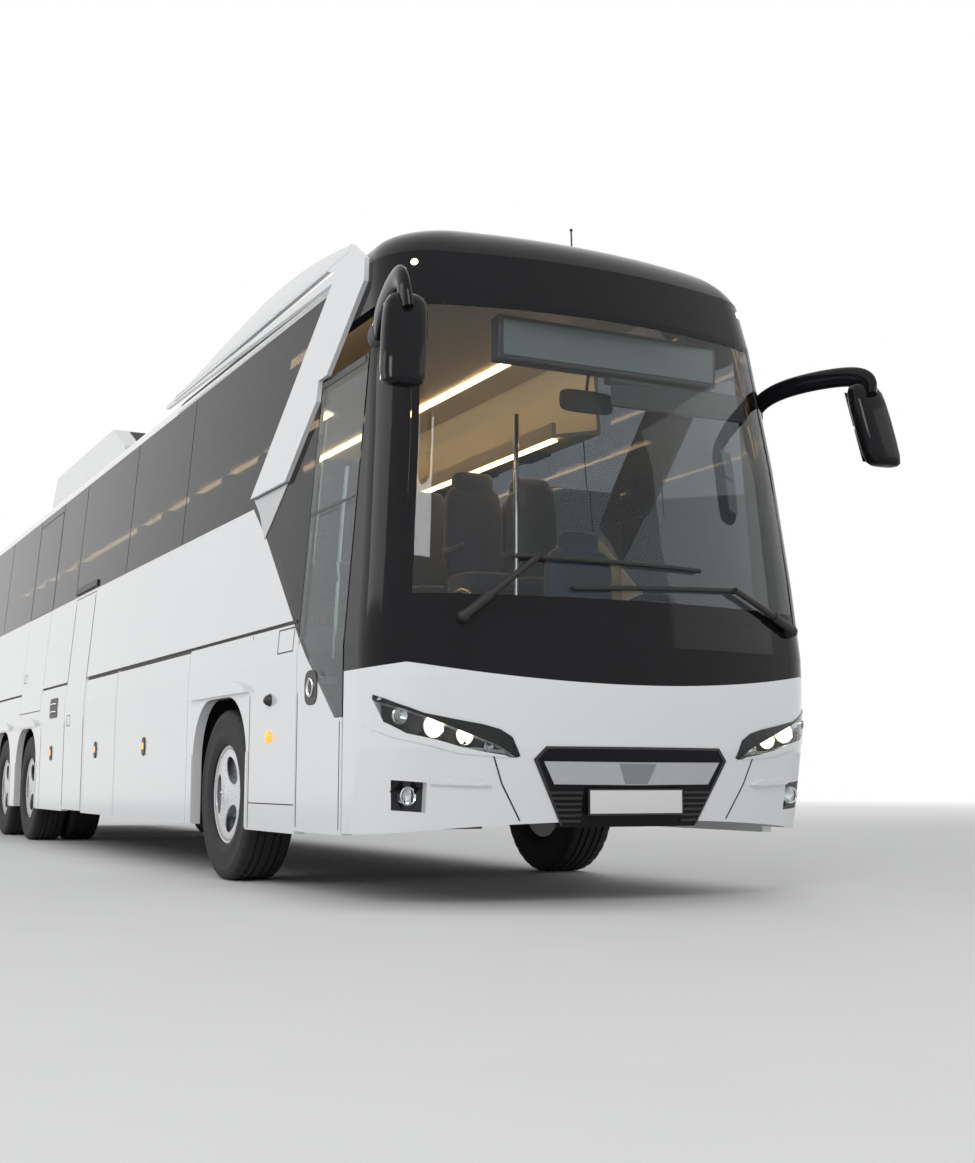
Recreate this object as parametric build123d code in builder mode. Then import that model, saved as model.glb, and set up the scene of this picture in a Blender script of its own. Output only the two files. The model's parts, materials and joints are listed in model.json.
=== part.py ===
from build123d import *
import os
from collections import namedtuple
from math import sqrt

# Three-axle touring coach. Millimetres, +Z up, the front faces -Y, the doors are on -X.
# The origin is on the ground, in the middle of the overall box.

# Overall sizes
body_length = 13910
body_width = 2550
skirt_height = 320
wall = 60
seam = 8
hinge_seam = 12
panel_gap = 0.3
running_gap = 0.3
pin_radius = 6
pin_inset = 14
pin_length = 40
cut_margin = 60

# Where the axles stand
front_overhang = 2770
wheelbase = 6600
tag_spacing = 1470

# Side shape: upright up to the lean, then tilted in towards the roof
lean_start = 1250
lean = 0.08
rail_groove = 22
rail_groove_depth = 15
belt_height = 2210
cant_height = 3260
glass_depth = 30

# Roof shape
roof_height = 3580
roof_edge_height = 3420
roof_corner = 300
roof_foot_drop = 160

# Plan shape of the two ends
face_radius = 3200
front_corner = 340
rear_corner = 260

# Mirrors reach ahead of the bumper, and set the overall length
mirror_reach = 250

overall_length = body_length + mirror_reach
half_width = body_width / 2
front_y = mirror_reach - overall_length / 2
rear_y = overall_length / 2
front_axle_y = front_y + front_overhang
drive_axle_y = front_axle_y + wheelbase
tag_axle_y = drive_axle_y + tag_spacing

# Front module: bumper, black panel, windscreen and cap
front_join = 680
cap_join = 1300
bumper_peak_x = 1140
bumper_peak_height = 1150
bumper_dip_height = 1060
bumper_end_height = 1118
bumper_low_height = 410
bumper_low_end = 340
screen_low_height = 1400
screen_below_cant = 270
screen_low_half = 1150
screen_high_half = 1020
screen_depth = 24

# Right-hand outlines of what sits in the bumper, as x and z
grille_points = ((378, 380), (535, 709), (489, 761))
lamp_points = ((632, 706), (720, 762), (1300, 992), (1300, 868), (1180, 800), (900, 728))
fog_points = ((1027, 452), (1032, 590), (1178, 602), (1168, 462))

# Pads for the number plates on the front grille and the rear bumper
plate_width = 530
plate_height = 120
plate_front_z = 500
plate_rear_z = 520
plate_stand = 8
plate_hole_spacing = 440
plate_hole_radius = 3

# Rear module: wall, window, lid, bumper and lamps
rear_join = 700
rear_window_half = 900
rear_window_low = 2330
rear_window_high = 3080
lid_half = 800
lid_low = 800
lid_high = 1960
lid_hinge_x = 300
lid_hinge_back = 36
lid_tab_width = 40
lid_tab_reach = 60
lid_eye_radius = 14
rear_bumper_height = 740
rear_lamp_low = 980
rear_lamp_high = 1820
rear_lamp_inner = 900
rear_lamp_outer = 1080

# Door openings on the right side, measured from the front axle
front_door_rear = -1400
front_door_top = 2750
mid_door_front = 3920
mid_door_rear = 4740
mid_door_top = 2190
door_low_height = 335
door_front_gap = 18
lift_door_front = 5900
lift_door_rear = 7050
lift_door_low = 1240
lift_door_high = 3190

# Slanted white blade between the front quarter panel and the window band, and its fin on the roof edge:
# distance behind the front axle and height of each corner
blade_points = (
    (-360, 2270), (-990, 2270), (-1970, 3160), (-1950, 3290),
    (-1720, 3440), (2040, 3390), (2040, 3360), (-1480, 3290),
)
fin_slot = ((-1500, 3345), (-1380, 3390), (1800, 3372), (1800, 3364))
blade_depth = 27
blade_stand = 0.5

# Edge between the white side below and the dark side above, ahead of the belt:
# distance behind the front axle and height of each corner
wedge_points = ((-1970, 905), (-1400, 1350), (-690, 1970), (-360, 2210))

# Swing arms of the two doors
arm_length = 420
arm_x = 1080
arm_heights = (700, 1120)
arm_width = 44
arm_depth = 20
bracket_width = 50
bracket_depth = 40
column_radius = 24
column_foot = 460
pivot_setback = 130

# Roof unit behind the middle of the roof
unit_front = 4600
unit_rear = 8000
unit_half = 850
unit_rise = 290
unit_lip_rise = 40
unit_front_slope = 500
unit_rear_slope = 250
unit_seat_drop = 180

# Luggage flaps, from the front axle: front and rear edge of each
right_flaps = ((700, 2740), (2760, 3880))
left_flaps = ((700, 2280), (2300, 3880), (3900, 5700))

# Wheels and tyres
tyre_radius = 512
tyre_width = 298
tyre_face_x = 1235
twin_spacing = 335
rim_radius = 286
rim_width = 236
dish_depth = 36
dish_radius = 246
hub_radius = 100
rim_window_count = 3
rim_window_length = 150
rim_window_width = 78
rim_window_depth = 60
arch_half = 560
arch_top = 1090
arch_corner = 380

# Axles and knuckles
kingpin_x = 870
kingpin_radius = 24
fist_radius = 38
fist_height = 90
lug_radius = 42
lug_height = 56
lug_gap = 5
web_depth = 36
spindle_radius = 42
spindle_reach = 60
beam_width = 90
drive_tube_radius = 75
drive_housing_radius = 190
drive_housing_half = 133
tag_tube_radius = 60
bellows_radius = 105

# Floor, frame rails and wheelhouses
deck_height = 1480
rail_below_deck = 40
deck_depth = 38
deck_front = -750
platform_height = 940
platform_depth = 40
platform_front = -2400
bay_floor_low = 345
bay_floor_depth = 35
bay_front = 680
bay_rear = 5970
sheet = 15
rail_inner_x = 450
rail_width = 80
rail_low = 640
rail_depth = 100
house_inner_x = 560
house_low = 700
house_top = 1112
front_house_half = 680
rear_house_half = 620
rail_past_join = 60
front_rail_end = -2380
jack_setback = 840
jack_half = 60
jack_low = 625
stair_inner_x = 450
entry_margin = 40
entry_count = 2
mid_count = 4

# Engine, one plain block between the rear rails
engine_front_share = 0.32
engine_rear_room = 90
engine_low = 470
engine_high = 1280

# Seats: pairs of seats on both sides of the aisle
seat_first = -350
seat_pitch = 790
seat_inner_x = 230
seat_outer_x = 1130
seat_cushion_height = 450
seat_cushion_depth = 130
seat_length = 430
seat_back_height = 1180
seat_back_depth = 110
seat_leg_width = 60
seat_leg_x = 350
seat_leg_inset = 60

# Driver's place
driver_x = 620
driver_y = -1280
driver_seat_width = 500
driver_seat_length = 480
driver_cushion_low = 380
driver_cushion_depth = 120
driver_back_height = 1170
driver_post_width = 260
dash_front = -2380
dash_depth = 420
dash_height = 1420
dash_left_x = 1020
dash_foot_setback = 60
dash_foot_depth = 240
dash_face_height = 160
dash_slope = 40
wheel_rim_radius = 225
wheel_rim_tube = 16
wheel_hub_radius = 48
wheel_spoke_width = 40
column_angle = 44
wheel_behind_dash = 150
wheel_above_dash = 40

# Luggage racks under the roof
rack_inner_x = 720
rack_above_deck = 1380
rack_depth = 28
rack_drop = 60
rack_lip = 40
rack_overlap = 8
rack_front = -600
rack_rear_room = 290

# Mirrors on arms from the cap
mirror_x = 1400
mirror_root_x = 1120
mirror_root_y = -2180
mirror_root_drop = 130
mirror_head_width = 230
mirror_head_depth = 130
mirror_head_low = 2230
mirror_head_high = 2740
mirror_arm_radius = 32
mirror_arm_rise = 40
mirror_arm_bend = 50
mirror_elbow_x = 1340
mirror_elbow_y = -2440
mirror_head_corner = 54

# Wipers: arms and blades as outlines seen from the front, x and z of each corner
wiper_arms = (
    ((-880, 1352), (-840, 1352), (-470, 1555), (-505, 1575)),
    ((1040, 1352), (1080, 1352), (640, 1500), (620, 1478)),
)
wiper_blades = (
    ((-620, 1560), (430, 1575), (430, 1598), (-620, 1588)),
    ((-330, 1452), (760, 1478), (760, 1504), (-330, 1478)),
)
wiper_stand = 10
wiper_depth = 22
wiper_pivot_radius = 26

# Aerial on the front of the roof
aerial_x = 480
aerial_y = -1350
aerial_height = 190
aerial_foot_length = 60
aerial_foot_width = 36
aerial_tip_length = 20
aerial_tip_width = 8
aerial_rake = 60

wheel_x = tyre_face_x - tyre_width / 2
wheel_height = tyre_radius
front_join_y = front_y + front_join
cap_join_y = front_y + cap_join
rear_join_y = rear_y - rear_join
door_rear_y = front_axle_y + front_door_rear
roof_foot_height = cant_height - roof_foot_drop
screen_high_height = cant_height - screen_below_cant
mirror_root_height = screen_high_height - mirror_root_drop
unit_height = roof_height + unit_rise
unit_lip_height = roof_height + unit_lip_rise
unit_seat_height = roof_height - unit_seat_drop
rail_height = deck_height - rail_below_deck
rack_low = deck_height + rack_above_deck

os.makedirs("parts", exist_ok=True)


def side_x(height):
    """Half width of the body side at a height."""
    return half_width - max(0, height - lean_start) * lean


def station(y):
    """Plane across the coach at a distance along it; extrude with a negative amount to go rearward."""
    return Plane.XZ.offset(-y)


def wall_section(side, low, high, depth, front, proud=0):
    """Section through a side panel at its front edge, with the kink where the lean starts."""
    heights = [low, high]
    if low < lean_start < high:
        heights.insert(1, lean_start)
    outer = [(side * (side_x(height) + proud), height) for height in heights]
    inner = [(side * (side_x(height) + proud - depth), height) for height in reversed(heights)]
    with BuildSketch(station(front)) as section:
        with BuildLine():
            Polyline(*outer, *inner, close=True)
        make_face()
    return section.sketch


def end_block(direction, join_y, levels, ruled=True):
    """Loft of one end of the body through plan outlines: curved face, round corners, straight back."""
    with BuildPart() as block:
        for level in levels:
            depth = direction * (face_radius - sqrt(face_radius ** 2 - level.half ** 2))
            corner_y = level.nose + depth
            with BuildSketch(Plane.XY.offset(level.height)) as outline:
                with BuildLine():
                    ThreePointArc((-level.half, corner_y), (0, level.nose), (level.half, corner_y))
                    Line((level.half, corner_y), (level.half, join_y))
                    Line((level.half, join_y), (-level.half, join_y))
                    Line((-level.half, join_y), (-level.half, corner_y))
                make_face()
                rows = outline.vertices().group_by(Axis.Y)
                fillet(rows[0] if direction > 0 else rows[-1], radius=level.corner)
        loft(ruled=ruled)
    return block.part


Level = namedtuple("Level", "height half nose corner")

# Lower body heights, with how far the face lies behind the nose and ahead of the tail
low_rows = ((300, 110, 50), (750, 20, 10), (1080, 0, 0), (lean_start, 4, 0))

# Upper body heights: height, nose setback, tail setback
high_rows = ((lean_start, 4, 0), (1650, 42, 30), (2300, 132, 80), (2990, 268, 150), (cant_height, 352, 190))

# Cap heights: height, half width on the roof line, nose setback, tail setback, corner radius
cap_rows = (
    (cant_height, 1109, 352, 190, 340),
    (3350, 1070, 425, 235, 330),
    (3430, 992, 535, 300, 320),
    (3477, 888, 640, 370, 300),
    (3520, 676, 780, 440, 200),
    (3550, 480, 920, 500, 110),
    (3572, 250, 1080, 540, 60),
)


def body_levels(direction, inset):
    """Tables of the lower, upper and cap outlines of one end, moved in by the inset."""
    end_y = front_y if direction > 0 else rear_y
    corner = front_corner if direction > 0 else rear_corner
    column = 1 if direction > 0 else 2
    low = [
        Level(row[0] - (inset if row[0] < lean_start else 0), side_x(row[0]) - inset,
              end_y + direction * (row[column] + inset), corner - inset)
        for row in low_rows
    ]
    high = [
        Level(row[0], side_x(row[0]) - inset, end_y + direction * (row[column] + inset), corner - inset)
        for row in high_rows
    ]
    cap = [
        Level(row[0] - inset * (row[0] > cant_height), row[1] - inset,
              end_y + direction * (row[column + 1] + inset), (row[4] - inset / 2) * corner / front_corner)
        for row in cap_rows
    ]
    return low, high, cap


def end_shell(direction, join_y, cap_y):
    """Wall-thick shells of one end of the body: below the cap, and the cap."""
    low, high, cap = body_levels(direction, 0)
    low_in, high_in, cap_in = body_levels(direction, wall)
    reach = direction * cut_margin
    low_block = end_block(direction, join_y, low)
    low_hollow = end_block(direction, join_y + reach, low_in)
    high_block = end_block(direction, cap_y, high)
    high_hollow = end_block(direction, cap_y + reach, high_in)
    cap_block = end_block(direction, cap_y, cap, ruled=False)
    cap_hollow = end_block(direction, cap_y + reach, cap_in, ruled=False)
    with BuildPart() as below:
        add(low_block)
        add(low_hollow, mode=Mode.SUBTRACT)
    with BuildPart() as upper:
        add(high_block)
        add(high_hollow, mode=Mode.SUBTRACT)
    with BuildPart() as cap_shell:
        add(cap_block)
        add(cap_hollow, mode=Mode.SUBTRACT)
    return below.part, upper.part, cap_shell.part, high_block, cap_block


def mirrored(points, side):
    """Outline points on one side of the coach."""
    return [(side * x, height) for x, height in points]


def lamp_faces(gap):
    """Sketch of the four openings for the headlamps and fog lamps."""
    with BuildSketch(station(front_y - cut_margin)) as faces:
        for side in (-1, 1):
            for points in (lamp_points, fog_points):
                with BuildLine():
                    Polyline(*mirrored(points, side), close=True)
                make_face()
        if gap:
            offset(amount=gap, kind=Kind.INTERSECTION)
    return faces.sketch


def grille_face(gap):
    """Sketch of the grille's trapezoid."""
    with BuildSketch(station(front_y - cut_margin)) as face:
        with BuildLine():
            Polyline(*mirrored(grille_points, 1), *reversed(mirrored(grille_points, -1)), close=True)
        make_face()
        if gap:
            offset(amount=gap, kind=Kind.INTERSECTION)
    return face.sketch


def bumper_face(gap):
    """Sketch of everything below the bumper's waved top edge, lowered by a gap."""
    peak = bumper_peak_height - gap
    front_zone = half_width + cut_margin
    with BuildSketch(station(front_y - cut_margin)) as face:
        with BuildLine():
            ThreePointArc((-bumper_peak_x, peak), (0, bumper_dip_height - gap), (bumper_peak_x, peak))
            Line((bumper_peak_x, peak), (front_zone, bumper_end_height - gap))
            Line((front_zone, bumper_end_height - gap), (front_zone, bumper_low_end))
            ThreePointArc((front_zone, bumper_low_end), (0, bumper_low_height), (-front_zone, bumper_low_end))
            Line((-front_zone, bumper_low_end), (-front_zone, bumper_end_height - gap))
            Line((-front_zone, bumper_end_height - gap), (-bumper_peak_x, peak))
        make_face()
    return face.sketch


def screen_face(gap):
    """Sketch of the windscreen's outline, drawn in by a gap."""
    with BuildSketch(station(front_y - cut_margin)) as face:
        with BuildLine():
            Polyline(
                (-screen_low_half + gap, screen_low_height + gap),
                (screen_low_half - gap, screen_low_height + gap),
                (screen_high_half - gap, screen_high_height - gap),
                (-screen_high_half + gap, screen_high_height - gap),
                close=True,
            )
        make_face()
    return face.sketch


front_low, front_high, front_cap, front_block, cap_block = end_shell(1, front_join_y, cap_join_y)
rear_low, rear_high, rear_cap = end_shell(-1, rear_join_y, rear_join_y)[:3]
half_gap = panel_gap / 2
bumper_outline = bumper_face(half_gap)
panel_outline = bumper_face(-half_gap)
grille_outline = grille_face(0)
grille_opening = grille_face(panel_gap)
lamp_outline = lamp_faces(0)
lamp_hole = lamp_faces(panel_gap)
screen_outline = screen_face(half_gap)
screen_opening = screen_face(-half_gap)
through = front_join + 2 * cut_margin

# Front bumper: the front below its waved top edge, open for the grille and the lamps
with BuildPart() as front_bumper:
    add(front_low)
    extrude(bumper_outline, amount=-through, mode=Mode.INTERSECT)
    extrude(grille_opening, amount=-through, mode=Mode.SUBTRACT)
    extrude(lamp_hole, amount=-through, mode=Mode.SUBTRACT)
front_bumper.part.label = "front_bumper"
export_step(front_bumper.part, "parts/front_bumper.step")

def plate_pad(face_y, run, height):
    """Block with an upright front face for a number plate."""
    with BuildPart() as pad:
        with BuildSketch(station(face_y)):
            with Locations((0, height)):
                Rectangle(plate_width, plate_height)
        extrude(amount=-run)
    return pad.part


def plate_holes(face_y, run, height):
    """Two screw holes from the plate's face through the pad and the panel."""
    with BuildPart() as holes:
        with BuildSketch(station(face_y)):
            with Locations((-plate_hole_spacing / 2, height), (plate_hole_spacing / 2, height)):
                Circle(plate_hole_radius)
        extrude(amount=-run)
    return holes.part


def level_depth(column, height):
    """How far the lower body's face lies inside its nose or tail at a height."""
    low, high = low_rows[0], low_rows[1]
    share = (height - low[0]) / (high[0] - low[0])
    return low[column] + share * (high[column] - low[column])


plate_top = plate_front_z + plate_height / 2
plate_face_y = front_y + level_depth(1, plate_top) - plate_stand
plate_run = level_depth(1, plate_top - plate_height) - level_depth(1, plate_top) + plate_stand + wall / 2
front_pad = plate_pad(plate_face_y, plate_run, plate_front_z)
front_holes = plate_holes(plate_face_y, plate_run + wall, plate_front_z)

# Front grille: the trapezoid panel that closes the bumper's opening, with the number plate's pad
with BuildPart() as front_grille:
    add(front_low)
    extrude(grille_outline, amount=-through, mode=Mode.INTERSECT)
    add(front_pad)
    add(front_holes, mode=Mode.SUBTRACT)
front_grille.part.label = "front_grille"
export_step(front_grille.part, "parts/front_grille.step")

# Headlamps and fog lamps, set in their openings
with BuildPart() as front_lamps:
    add(front_low)
    extrude(lamp_outline, amount=-through, mode=Mode.INTERSECT)
front_lamps.part.label = "front_lamps"
export_step(front_lamps.part, "parts/front_lamps.step")

# Dark panel between the bumper and the windscreen
with BuildPart() as lower_panel_low:
    add(front_low)
    extrude(panel_outline, amount=-through, mode=Mode.SUBTRACT)
    split(bisect_by=Plane.XY.offset(bumper_dip_height - cut_margin), keep=Keep.TOP)
with BuildPart() as lower_panel_high:
    add(front_high)
    split(bisect_by=Plane.XY.offset(screen_low_height - half_gap), keep=Keep.BOTTOM)
    split(bisect_by=Plane.XZ.offset(-front_join_y), keep=Keep.TOP)
with BuildPart() as lower_front_panel:
    add(lower_panel_low.part)
    add(lower_panel_high.part)
lower_front_panel.part.label = "lower_front_panel"
export_step(lower_front_panel.part, "parts/lower_front_panel.step")

# Windscreen: the outer skin of the front shell inside the screen's outline
with BuildPart() as windscreen:
    add(front_high)
    extrude(screen_outline, amount=-through, mode=Mode.INTERSECT)
windscreen.part.label = "windscreen"
export_step(windscreen.part, "parts/windscreen.step")

# Pillars on both sides of the windscreen, up to the cap
with BuildPart() as front_pillars:
    add(front_high)
    extrude(screen_opening, amount=-through, mode=Mode.SUBTRACT)
    split(bisect_by=Plane.XY.offset(screen_low_height + half_gap), keep=Keep.TOP)
    split(bisect_by=Plane.XY.offset(screen_high_height - half_gap), keep=Keep.BOTTOM)
    split(bisect_by=Plane.XZ.offset(-front_join_y), keep=Keep.TOP)
front_pillars.part.label = "front_pillars"
export_step(front_pillars.part, "parts/front_pillars.step")

# Cap over the windscreen, up to the roof
with BuildPart() as cap_brow:
    add(front_high)
    split(bisect_by=Plane.XY.offset(screen_high_height + half_gap), keep=Keep.TOP)
with BuildPart() as roof_front_cap:
    add(cap_brow.part)
    add(front_cap)
roof_front_cap.part.label = "roof_front_cap"
export_step(roof_front_cap.part, "parts/roof_front_cap.step")

# Roof: one arched sheet between the two end caps
roof_front_y = cap_join_y + panel_gap
roof_rear_y = rear_join_y - panel_gap


def roof_section(drop):
    """Closed outline under the roof line, moved in by a drop."""
    edge_half = side_x(roof_edge_height) - drop
    edge_z = roof_edge_height - drop
    foot_half = side_x(roof_foot_height) - drop
    with BuildSketch(station(roof_front_y)) as section:
        with BuildLine():
            ThreePointArc((-edge_half, edge_z), (0, roof_height - drop), (edge_half, edge_z))
            Line((edge_half, edge_z), (foot_half, roof_foot_height))
            Line((foot_half, roof_foot_height), (-foot_half, roof_foot_height))
            Line((-foot_half, roof_foot_height), (-edge_half, edge_z))
        make_face()
        fillet(section.vertices().group_by(Axis.Y)[-1], radius=roof_corner - drop)
    return section.sketch


roof_run = roof_rear_y - roof_front_y
side_cut_x = side_x(roof_height) - 2 * wall
side_cut_run = half_width + cut_margin - side_cut_x
roof_outline = roof_section(0)
roof_hollow = roof_section(wall)
with BuildPart() as roof_shell:
    extrude(roof_outline, amount=-roof_run)
    extrude(roof_hollow, amount=-roof_run, mode=Mode.SUBTRACT)
    split(bisect_by=Plane.XY.offset(cant_height + half_gap), keep=Keep.TOP)
roof_shell.part.label = "roof_shell"
export_step(roof_shell.part, "parts/roof_shell.step")


def side_slot(side, front, rear, low, high, corner=0):
    """Block through one side wall, as seen from the side, for a door or an arch."""
    with BuildPart() as slot:
        with BuildSketch(Plane.YZ.offset(side * side_cut_x)):
            with Locations(((front + rear) / 2, (low + high) / 2)):
                if corner:
                    RectangleRounded(rear - front, high - low, corner)
                else:
                    Rectangle(rear - front, high - low)
        extrude(amount=side * side_cut_run)
    return slot.part


def arch_slot(side, axle_y):
    """Wheel arch cut: flat top with round corners, open below."""
    return side_slot(side, axle_y - arch_half, axle_y + arch_half, -arch_top, arch_top, arch_corner)


front_arches = [front_axle_y]
rear_arches = [drive_axle_y, tag_axle_y]
mid_front_y = front_axle_y + mid_door_front
mid_rear_y = front_axle_y + mid_door_rear
lift_front_y = front_axle_y + lift_door_front
lift_rear_y = front_axle_y + lift_door_rear
wall_rear_y = rear_join_y - panel_gap
side_starts = {-1: door_rear_y, 1: front_join_y + panel_gap}
groove_low = rail_height - rail_groove / 2


def white_zone(side, gap):
    """Block over the white part of a side, grown by a gap: below the wedge edge and the belt."""
    tip_height = wedge_points[0][1]
    edge = [(front_axle_y + distance, height) for distance, height in wedge_points]
    with BuildPart() as zone:
        with BuildSketch(Plane.YZ.offset(side * side_cut_x)):
            with BuildLine():
                Polyline(
                    (front_y - cut_margin, 0),
                    (front_y - cut_margin, tip_height),
                    *edge,
                    (rear_y + cut_margin, belt_height),
                    (rear_y + cut_margin, 0),
                    close=True,
                )
            make_face()
            if gap:
                offset(amount=gap, kind=Kind.INTERSECTION)
        extrude(amount=side * side_cut_run)
    return zone.part


flap_top = groove_low - hinge_seam
flap_pin_height = flap_top - pin_inset
lift_hinge_y = lift_front_y + hinge_seam + pin_inset
lift_foot = Vector(pin_inset - side_x(lift_door_low), lift_hinge_y, lift_door_low)
lift_head = Vector(pin_inset - side_x(lift_door_high), lift_hinge_y, lift_door_high)
lift_line = (lift_head - lift_foot).normalized()


def lift_pin(radius, centre):
    """Short pin on the leaning hinge line of the lift door."""
    with BuildPart() as pin:
        with BuildSketch(Plane(origin=centre - lift_line * (pin_length / 2), z_dir=lift_line)):
            Circle(radius)
        extrude(amount=pin_length)
    return pin.part


def flap_pins(side, front, rear, radius):
    """Pins across the two ends of a flap, from the posts beside it."""
    with BuildPart() as pins:
        for start in (front - pin_length / 2, rear - pin_length / 2):
            with BuildSketch(station(start)):
                with Locations((side * (side_x(flap_pin_height) - pin_inset), flap_pin_height)):
                    Circle(radius)
            extrude(amount=-pin_length)
    return pins.part


# Side walls: the upper strip and the skirt below it, as separate panels, cut for arches and doors
for side, name, flaps in ((-1, "right", right_flaps), (1, "left", left_flaps)):
    start_y = side_starts[side]
    section = wall_section(side, skirt_height, belt_height, wall, start_y)
    groove_top = groove_low + rail_groove
    groove = wall_section(side, groove_low, groove_top, wall, start_y, wall - rail_groove_depth)
    cuts = [arch_slot(side, axle_y) for axle_y in front_arches + rear_arches]
    for front, rear in flaps:
        cuts.append(side_slot(side, front_axle_y + front, front_axle_y + rear, 0, groove_low))
    if side < 0:
        cuts.append(side_slot(side, mid_front_y, mid_rear_y, 0, mid_door_top))
        cuts.append(side_slot(side, lift_front_y, lift_rear_y, lift_door_low, lift_door_high))
    posts = [
        flap_pins(side, front_axle_y + front, front_axle_y + rear, pin_radius) for front, rear in flaps
    ]
    if side < 0:
        posts.append(lift_pin(pin_radius, lift_foot))
    white = white_zone(side, 0)
    with BuildPart() as side_wall:
        extrude(section, amount=start_y - wall_rear_y)
        extrude(groove, amount=start_y - wall_rear_y, mode=Mode.SUBTRACT)
        add(white, mode=Mode.INTERSECT)
        add(cuts, mode=Mode.SUBTRACT)
        add(posts)
    side_wall.part.label = f"side_wall_{name}"
    export_step(side_wall.part, f"parts/side_wall_{name}.step")

# Tinted window band above the belt, with the front quarter panel that runs down to the wedge edge
for side, name in ((-1, "right"), (1, "left")):
    start_y = side_starts[side]
    low_height = wedge_points[0][1]
    split_height = screen_high_height - half_gap
    band = wall_section(side, split_height, cant_height - half_gap, glass_depth, cap_join_y + panel_gap)
    lower = wall_section(side, low_height, split_height, glass_depth, start_y)
    white = white_zone(side, panel_gap)
    cuts = []
    if side < 0:
        cuts.append(side_slot(side, front_join_y, door_rear_y, 0, front_door_top + seam))
        cuts.append(side_slot(side, lift_front_y, lift_rear_y, lift_door_low, lift_door_high))
    with BuildPart() as side_glass:
        extrude(band, amount=cap_join_y + panel_gap - wall_rear_y)
        extrude(lower, amount=start_y - wall_rear_y)
        add(white, mode=Mode.SUBTRACT)
        add(cuts, mode=Mode.SUBTRACT)
        if side < 0:
            add(lift_pin(pin_radius, lift_head))
    side_glass.part.label = f"side_glass_{name}"
    export_step(side_glass.part, f"parts/side_glass_{name}.step")

# Pillar blades with their fins, standing just off the glass
with BuildPart() as roof_fins:
    for side in (-1, 1):
        stand = blade_depth + blade_stand
        profile = wall_section(side, belt_height - cut_margin, roof_height, blade_depth, front_y, stand)
        extrude(profile, amount=front_y - rear_y)
    with BuildSketch(Plane.YZ.offset(-half_width)):
        with BuildLine():
            Polyline(*[(front_axle_y + distance, height) for distance, height in blade_points], close=True)
        make_face()
        with BuildLine():
            Polyline(*[(front_axle_y + distance, height) for distance, height in fin_slot], close=True)
        make_face(mode=Mode.SUBTRACT)
    extrude(amount=body_width, mode=Mode.INTERSECT)
    add(side_slot(-1, front_join_y, door_rear_y, 0, front_door_top + seam), mode=Mode.SUBTRACT)
roof_fins.part.label = "roof_fins"
export_step(roof_fins.part, "parts/roof_fins.step")

# Roof unit: a low housing with sloped ends, seated on the arch of the roof
unit_outline = roof_section(-running_gap)
with BuildPart() as roof_unit:
    with BuildSketch(Plane.YZ):
        with BuildLine():
            Polyline(
                (front_axle_y + unit_front, unit_seat_height),
                (front_axle_y + unit_front, unit_lip_height),
                (front_axle_y + unit_front + unit_front_slope, unit_height),
                (front_axle_y + unit_rear - unit_rear_slope, unit_height),
                (front_axle_y + unit_rear, unit_lip_height),
                (front_axle_y + unit_rear, unit_seat_height),
                close=True,
            )
        make_face()
    extrude(amount=unit_half, both=True)
    extrude(unit_outline, amount=-roof_run, mode=Mode.SUBTRACT)
roof_unit.part.label = "roof_unit"
export_step(roof_unit.part, "parts/roof_unit.step")

# Swing doors on the right side: front door and middle door, each one panel that moves parallel to the side
door_front_y = front_join_y + door_front_gap
front_leaf = wall_section(-1, door_low_height, front_door_top, wall, door_front_y)
mid_leaf = wall_section(-1, door_low_height, mid_door_top - seam, wall, mid_front_y + door_front_gap)
front_leaf_run = door_front_y - (door_rear_y - seam)
mid_leaf_run = mid_front_y + door_front_gap - (mid_rear_y - seam)


def door_brackets(pivot_y):
    """Brackets inside a door, with the bores that take the swing arm's pins."""
    with BuildPart() as brackets:
        for height in arm_heights:
            reach = side_x(height) - wall / 2 - arm_x
            with BuildSketch(Plane.XY.offset(height - bracket_depth / 2)):
                with Locations((-arm_x - reach / 2, pivot_y + arm_length)):
                    Rectangle(reach, bracket_width)
                with Locations((-arm_x, pivot_y + arm_length)):
                    Circle(bracket_width / 2)
                    Circle(pin_radius + running_gap, mode=Mode.SUBTRACT)
            extrude(amount=bracket_depth)
    return brackets.part


def swing_arm(pivot_y, foot):
    """Upright column inside the doorway with two arms, each ending in a pin."""
    with BuildPart() as arm:
        with BuildSketch(Plane.XY.offset(foot)):
            with Locations((-arm_x, pivot_y)):
                Circle(column_radius)
        extrude(amount=arm_heights[-1] + bracket_depth - foot)
        for height in arm_heights:
            with BuildSketch(Plane.XY.offset(height + bracket_depth / 2 + running_gap)):
                with Locations((-arm_x, pivot_y + arm_length / 2)):
                    SlotCenterToCenter(arm_length, arm_width, rotation=90)
            extrude(amount=arm_depth)
            with BuildSketch(Plane.XY.offset(height - bracket_depth / 2)):
                with Locations((-arm_x, pivot_y + arm_length)):
                    Circle(pin_radius)
            extrude(amount=bracket_depth + running_gap + arm_depth)
    return arm.part


front_pivot_y = door_front_y + pivot_setback
mid_pivot_y = mid_front_y + door_front_gap + pivot_setback
white = white_zone(-1, 0)
dark_cut = white_zone(-1, panel_gap)
front_brackets = door_brackets(front_pivot_y)
mid_brackets = door_brackets(mid_pivot_y)
with BuildPart() as front_door:
    extrude(front_leaf, amount=front_leaf_run)
    add(white, mode=Mode.INTERSECT)
    add(front_brackets)
front_door.part.label = "front_door"
export_step(front_door.part, "parts/front_door.step")

with BuildPart() as front_door_glass:
    extrude(front_leaf, amount=front_leaf_run)
    add(dark_cut, mode=Mode.SUBTRACT)
front_door_glass.part.label = "front_door_glass"
export_step(front_door_glass.part, "parts/front_door_glass.step")

with BuildPart() as mid_door:
    extrude(mid_leaf, amount=mid_leaf_run)
    add(mid_brackets)
mid_door.part.label = "mid_door"
export_step(mid_door.part, "parts/mid_door.step")

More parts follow.
